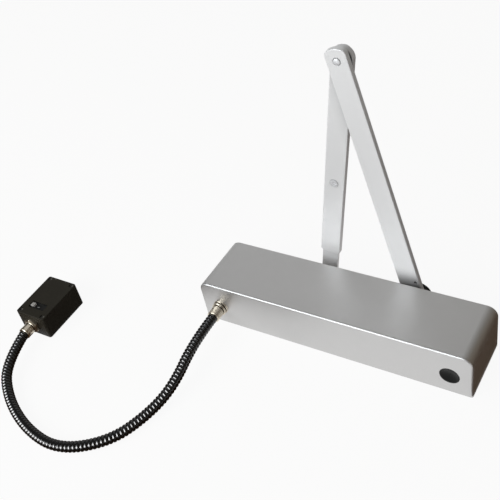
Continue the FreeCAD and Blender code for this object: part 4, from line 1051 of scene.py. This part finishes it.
def area_lamp(name, target, place, size, colour, power):
    """An oblong soft lamp that looks at a target."""
    lamp = bpy.data.lights.new(name, "AREA")
    lamp.shape = "RECTANGLE"
    lamp.size, lamp.size_y = size
    lamp.energy = power
    lamp.color = colour
    item = put_in_scene(name, lamp)
    item.location = place
    item.rotation_euler = (Vector(target) - Vector(place)).to_track_quat("-Z", "Y").to_euler()
    return item


def oblong(low, high, bottom, top):
    """Corners of an oblong, one place across it and one up it for each."""
    return (low, bottom), (high, bottom), (high, top), (low, top)


def backdrop_share(tree, strength):
    """How much of the plain white backdrop a ray sees: camera, mirror and glass rays see it."""
    rays = tree.nodes.new("ShaderNodeLightPath")
    seen = maths(tree, "MAXIMUM", rays.outputs["Is Camera Ray"], rays.outputs["Is Glossy Ray"])
    seen = maths(tree, "MAXIMUM", seen, rays.outputs["Is Transmission Ray"])
    return maths(tree, "MULTIPLY", seen, strength)


class CLOSER_OT_stage(bpy.types.Operator):
    """Sets the pale floor, the soft lamps, the cards that reflections see and the camera"""

    bl_idname = "closer.stage"
    bl_label = "Stage"

    def execute(self, context):
        scene = context.scene
        size = scene.closer_stage
        scene.view_settings.view_transform = "Standard"
        self.floor()
        self.cards()
        self.sky(scene, size.sky_strength)
        self.lamps(size)
        scene.camera = self.camera(size)
        return {"FINISHED"}

    def lamps(self, size):
        """A key lamp like a window, a glint lamp that lights the conduit alone, and a fill lamp."""
        target = (-0.05, -0.02, 0.05)
        rows = {
            "key_lamp": ((-0.60, -1.30, 0.85), (1.2, 0.9), (0.93, 0.97, 1.0), size.key_power),
            "glint_lamp": ((-0.55, -1.45, 0.5), (2.0, 0.8), (1.0, 1.0, 1.0), size.glint_power),
            "fill_lamp": ((-1.3, -0.5, 1.0), (1.2, 1.0), (0.96, 0.98, 1.0), size.fill_power),
        }
        made = {name: area_lamp(name, target, *row) for name, row in rows.items()}
        glint = made["glint_lamp"]
        glint.visible_diffuse = False
        glossy = bpy.data.collections.new("glossy_skins")
        glossy.objects.link(stand_ins["conduit"])
        glint.light_linking.receiver_collection = glossy

    def camera(self, size):
        """The camera at the photograph's angle."""
        camera = bpy.data.cameras.new("photo_camera")
        camera.lens = size.lens
        camera.sensor_width = 36.0
        camera.shift_x = size.shift_x
        camera.shift_y = size.shift_y
        camera.clip_start = 0.02
        camera.clip_end = 50.0
        item = put_in_scene("photo_camera", camera)
        item.location = size.camera_place
        item.rotation_euler = size.camera_turn
        return item

    def floor(self):
        """A wide pale floor just under the part, which keeps the shadow."""
        mesh = bmesh.new()
        bmesh.ops.create_grid(mesh, x_segments=1, y_segments=1, size=6.0)
        floor = close_mesh("floor", mesh)
        floor.location.z = -0.3 * MM
        material, tree, shader = new_material("pale_floor")
        set_inputs(shader, {"Base Color": (0.66, 0.64, 0.61), "Roughness": 0.9, "Specular IOR Level": 0.0})
        white_share = 0.93
        glow = tree.nodes.new("ShaderNodeEmission")
        blend = tree.nodes.new("ShaderNodeMixShader")
        wire(tree, backdrop_share(tree, white_share), blend.inputs[0])
        wire(tree, shader.outputs[0], blend.inputs[1])
        wire(tree, glow.outputs[0], blend.inputs[2])
        wire(tree, blend.outputs[0], tree.nodes["Material Output"].inputs["Surface"])
        floor.data.materials.append(material)

    def cards(self):
        """What shiny surfaces mirror: a brown table, a wall with a tan door, sides, front and ceiling."""
        brown, tan = (0.055, 0.030, 0.014), (0.14, 0.105, 0.07)
        dim, dark = (0.16, 0.155, 0.15), (0.08, 0.08, 0.075)
        wall_left, wall_right = (0.63, 0.63, 0.63), (0.26, 0.255, 0.235)
        left, right, near, far, top = -1.1, 1.5, -1.7, 0.55, 2.0
        foot, table, door_left = 1 * MM, 0.4 * MM, 0.6
        beside_cover = [
            (0.1505, -0.06), (0.9, -0.06), (0.9, far), (0.02, far), (0.02, 0.075), (0.1505, 0.075),
        ]
        beside_box = [
            (-0.42, -0.33), (-0.12, -0.33), (-0.05, -0.2), (-0.06, -0.09), (-0.16, -0.09), (-0.2, -0.05),
            (-0.2, 0.1), (-0.304, 0.1), (-0.304, -0.135), (-0.42, -0.135),
        ]
        for name, corners in (("table_card_cover", beside_cover), ("table_card_box", beside_box)):
            self.card(name, [(x, y, table) for x, y in corners], brown)
        across, deep = oblong(left, right, foot, top), oblong(near, far, foot, top)
        self.card("wall_card", [(x, far, z) for x, z in across], wall_left, wall_right, (-0.3, 0.35))
        door = oblong(door_left, right, foot, top)
        self.card("door_card", [(x, far - 10 * MM, z) for x, z in door], tan)
        self.card("front_card", [(x, near, z) for x, z in across], dim)
        self.card("left_card", [(left, y, z) for y, z in deep], dark)
        self.card("right_card", [(right, y, z) for y, z in deep], tan)
        self.card("ceiling_card", [(x, y, top) for x, y in oblong(left, right, near, far)], dim)

    def card(self, name, corners, colour, last_colour=None, span=(0.0, 1.0)):
        """A flat card that only reflections see; with a last colour it blends along X over the span."""
        mesh = bmesh.new()
        mesh.faces.new([mesh.verts.new(corner) for corner in corners])
        card = close_mesh(name, mesh)
        material, tree, shader = new_material(name)
        black = (0.0, 0.0, 0.0)
        if last_colour:
            share = spread(tree, object_axes(tree)["X"], *span)
            colour = mix(tree, share, colour, last_colour)
        set_inputs(shader, {"Base Color": black, "Roughness": 1.0, "Specular IOR Level": 0.0})
        set_inputs(shader, {"Emission Color": colour, "Emission Strength": 1.0})
        card.data.materials.append(material)
        card.visible_camera = False
        card.visible_shadow = False
        card.visible_diffuse = False

    def sky(self, scene, strength):
        """A plain sky: white where it is seen, dimmer where it only lights."""
        world = bpy.data.worlds.new("plain_sky")
        scene.world = world
        world.use_nodes = True
        tree = world.node_tree
        seen = backdrop_share(tree, 1.0)
        level = maths(tree, "ADD", maths(tree, "MULTIPLY", seen, 1.0 - strength), strength)
        set_inputs(tree.nodes["Background"], {"Color": (1.0, 1.0, 1.0), "Strength": level})


class CLOSER_PT_panel(bpy.types.Panel):
    """Lists the closer's pieces, sizes and colours"""

    bl_idname = "CLOSER_PT_panel"
    bl_label = "Door closer"
    bl_space_type = "VIEW_3D"
    bl_region_type = "UI"
    bl_category = "Closer"

    def draw(self, context):
        for step in OPERATORS:
            self.layout.operator(step.bl_idname)
        for setting in SETTINGS:
            group = getattr(context.scene, setting)
            for name in group.bl_rna.properties.keys():
                if name not in ("rna_type", "name"):
                    self.layout.prop(group, name)


OPERATORS = (
    CLOSER_OT_finishes, CLOSER_OT_glands, CLOSER_OT_screws, CLOSER_OT_pivots, CLOSER_OT_plug,
    CLOSER_OT_switch, CLOSER_OT_arm, CLOSER_OT_spring, CLOSER_OT_conduit, CLOSER_OT_stage,
)
SETTINGS = {
    "closer_colours": CloserColours,
    "closer_arm": ArmSizes,
    "closer_spring": SpringSizes,
    "closer_conduit": ConduitSizes,
    "closer_stage": StageSizes,
}
CLASSES = (*SETTINGS.values(), *OPERATORS, CLOSER_PT_panel)


def register():
    """Adds the classes and the scene's settings."""
    for item in CLASSES:
        bpy.utils.register_class(item)
    for name, group in SETTINGS.items():
        setattr(bpy.types.Scene, name, PointerProperty(type=group))


def unregister():
    """Takes the classes and settings away again."""
    for name in SETTINGS:
        delattr(bpy.types.Scene, name)
    for item in reversed(CLASSES):
        bpy.utils.unregister_class(item)


def main():
    """Builds the dressed closer."""
    register()
    bpy.ops.closer.finishes()
    bpy.ops.closer.glands()
    bpy.ops.closer.screws()
    bpy.ops.closer.pivots()
    bpy.ops.closer.plug()
    bpy.ops.closer.switch()
    bpy.ops.closer.arm()
    bpy.ops.closer.spring()
    bpy.ops.closer.conduit()
    bpy.ops.closer.stage()


if __name__ == "__main__":
    main()
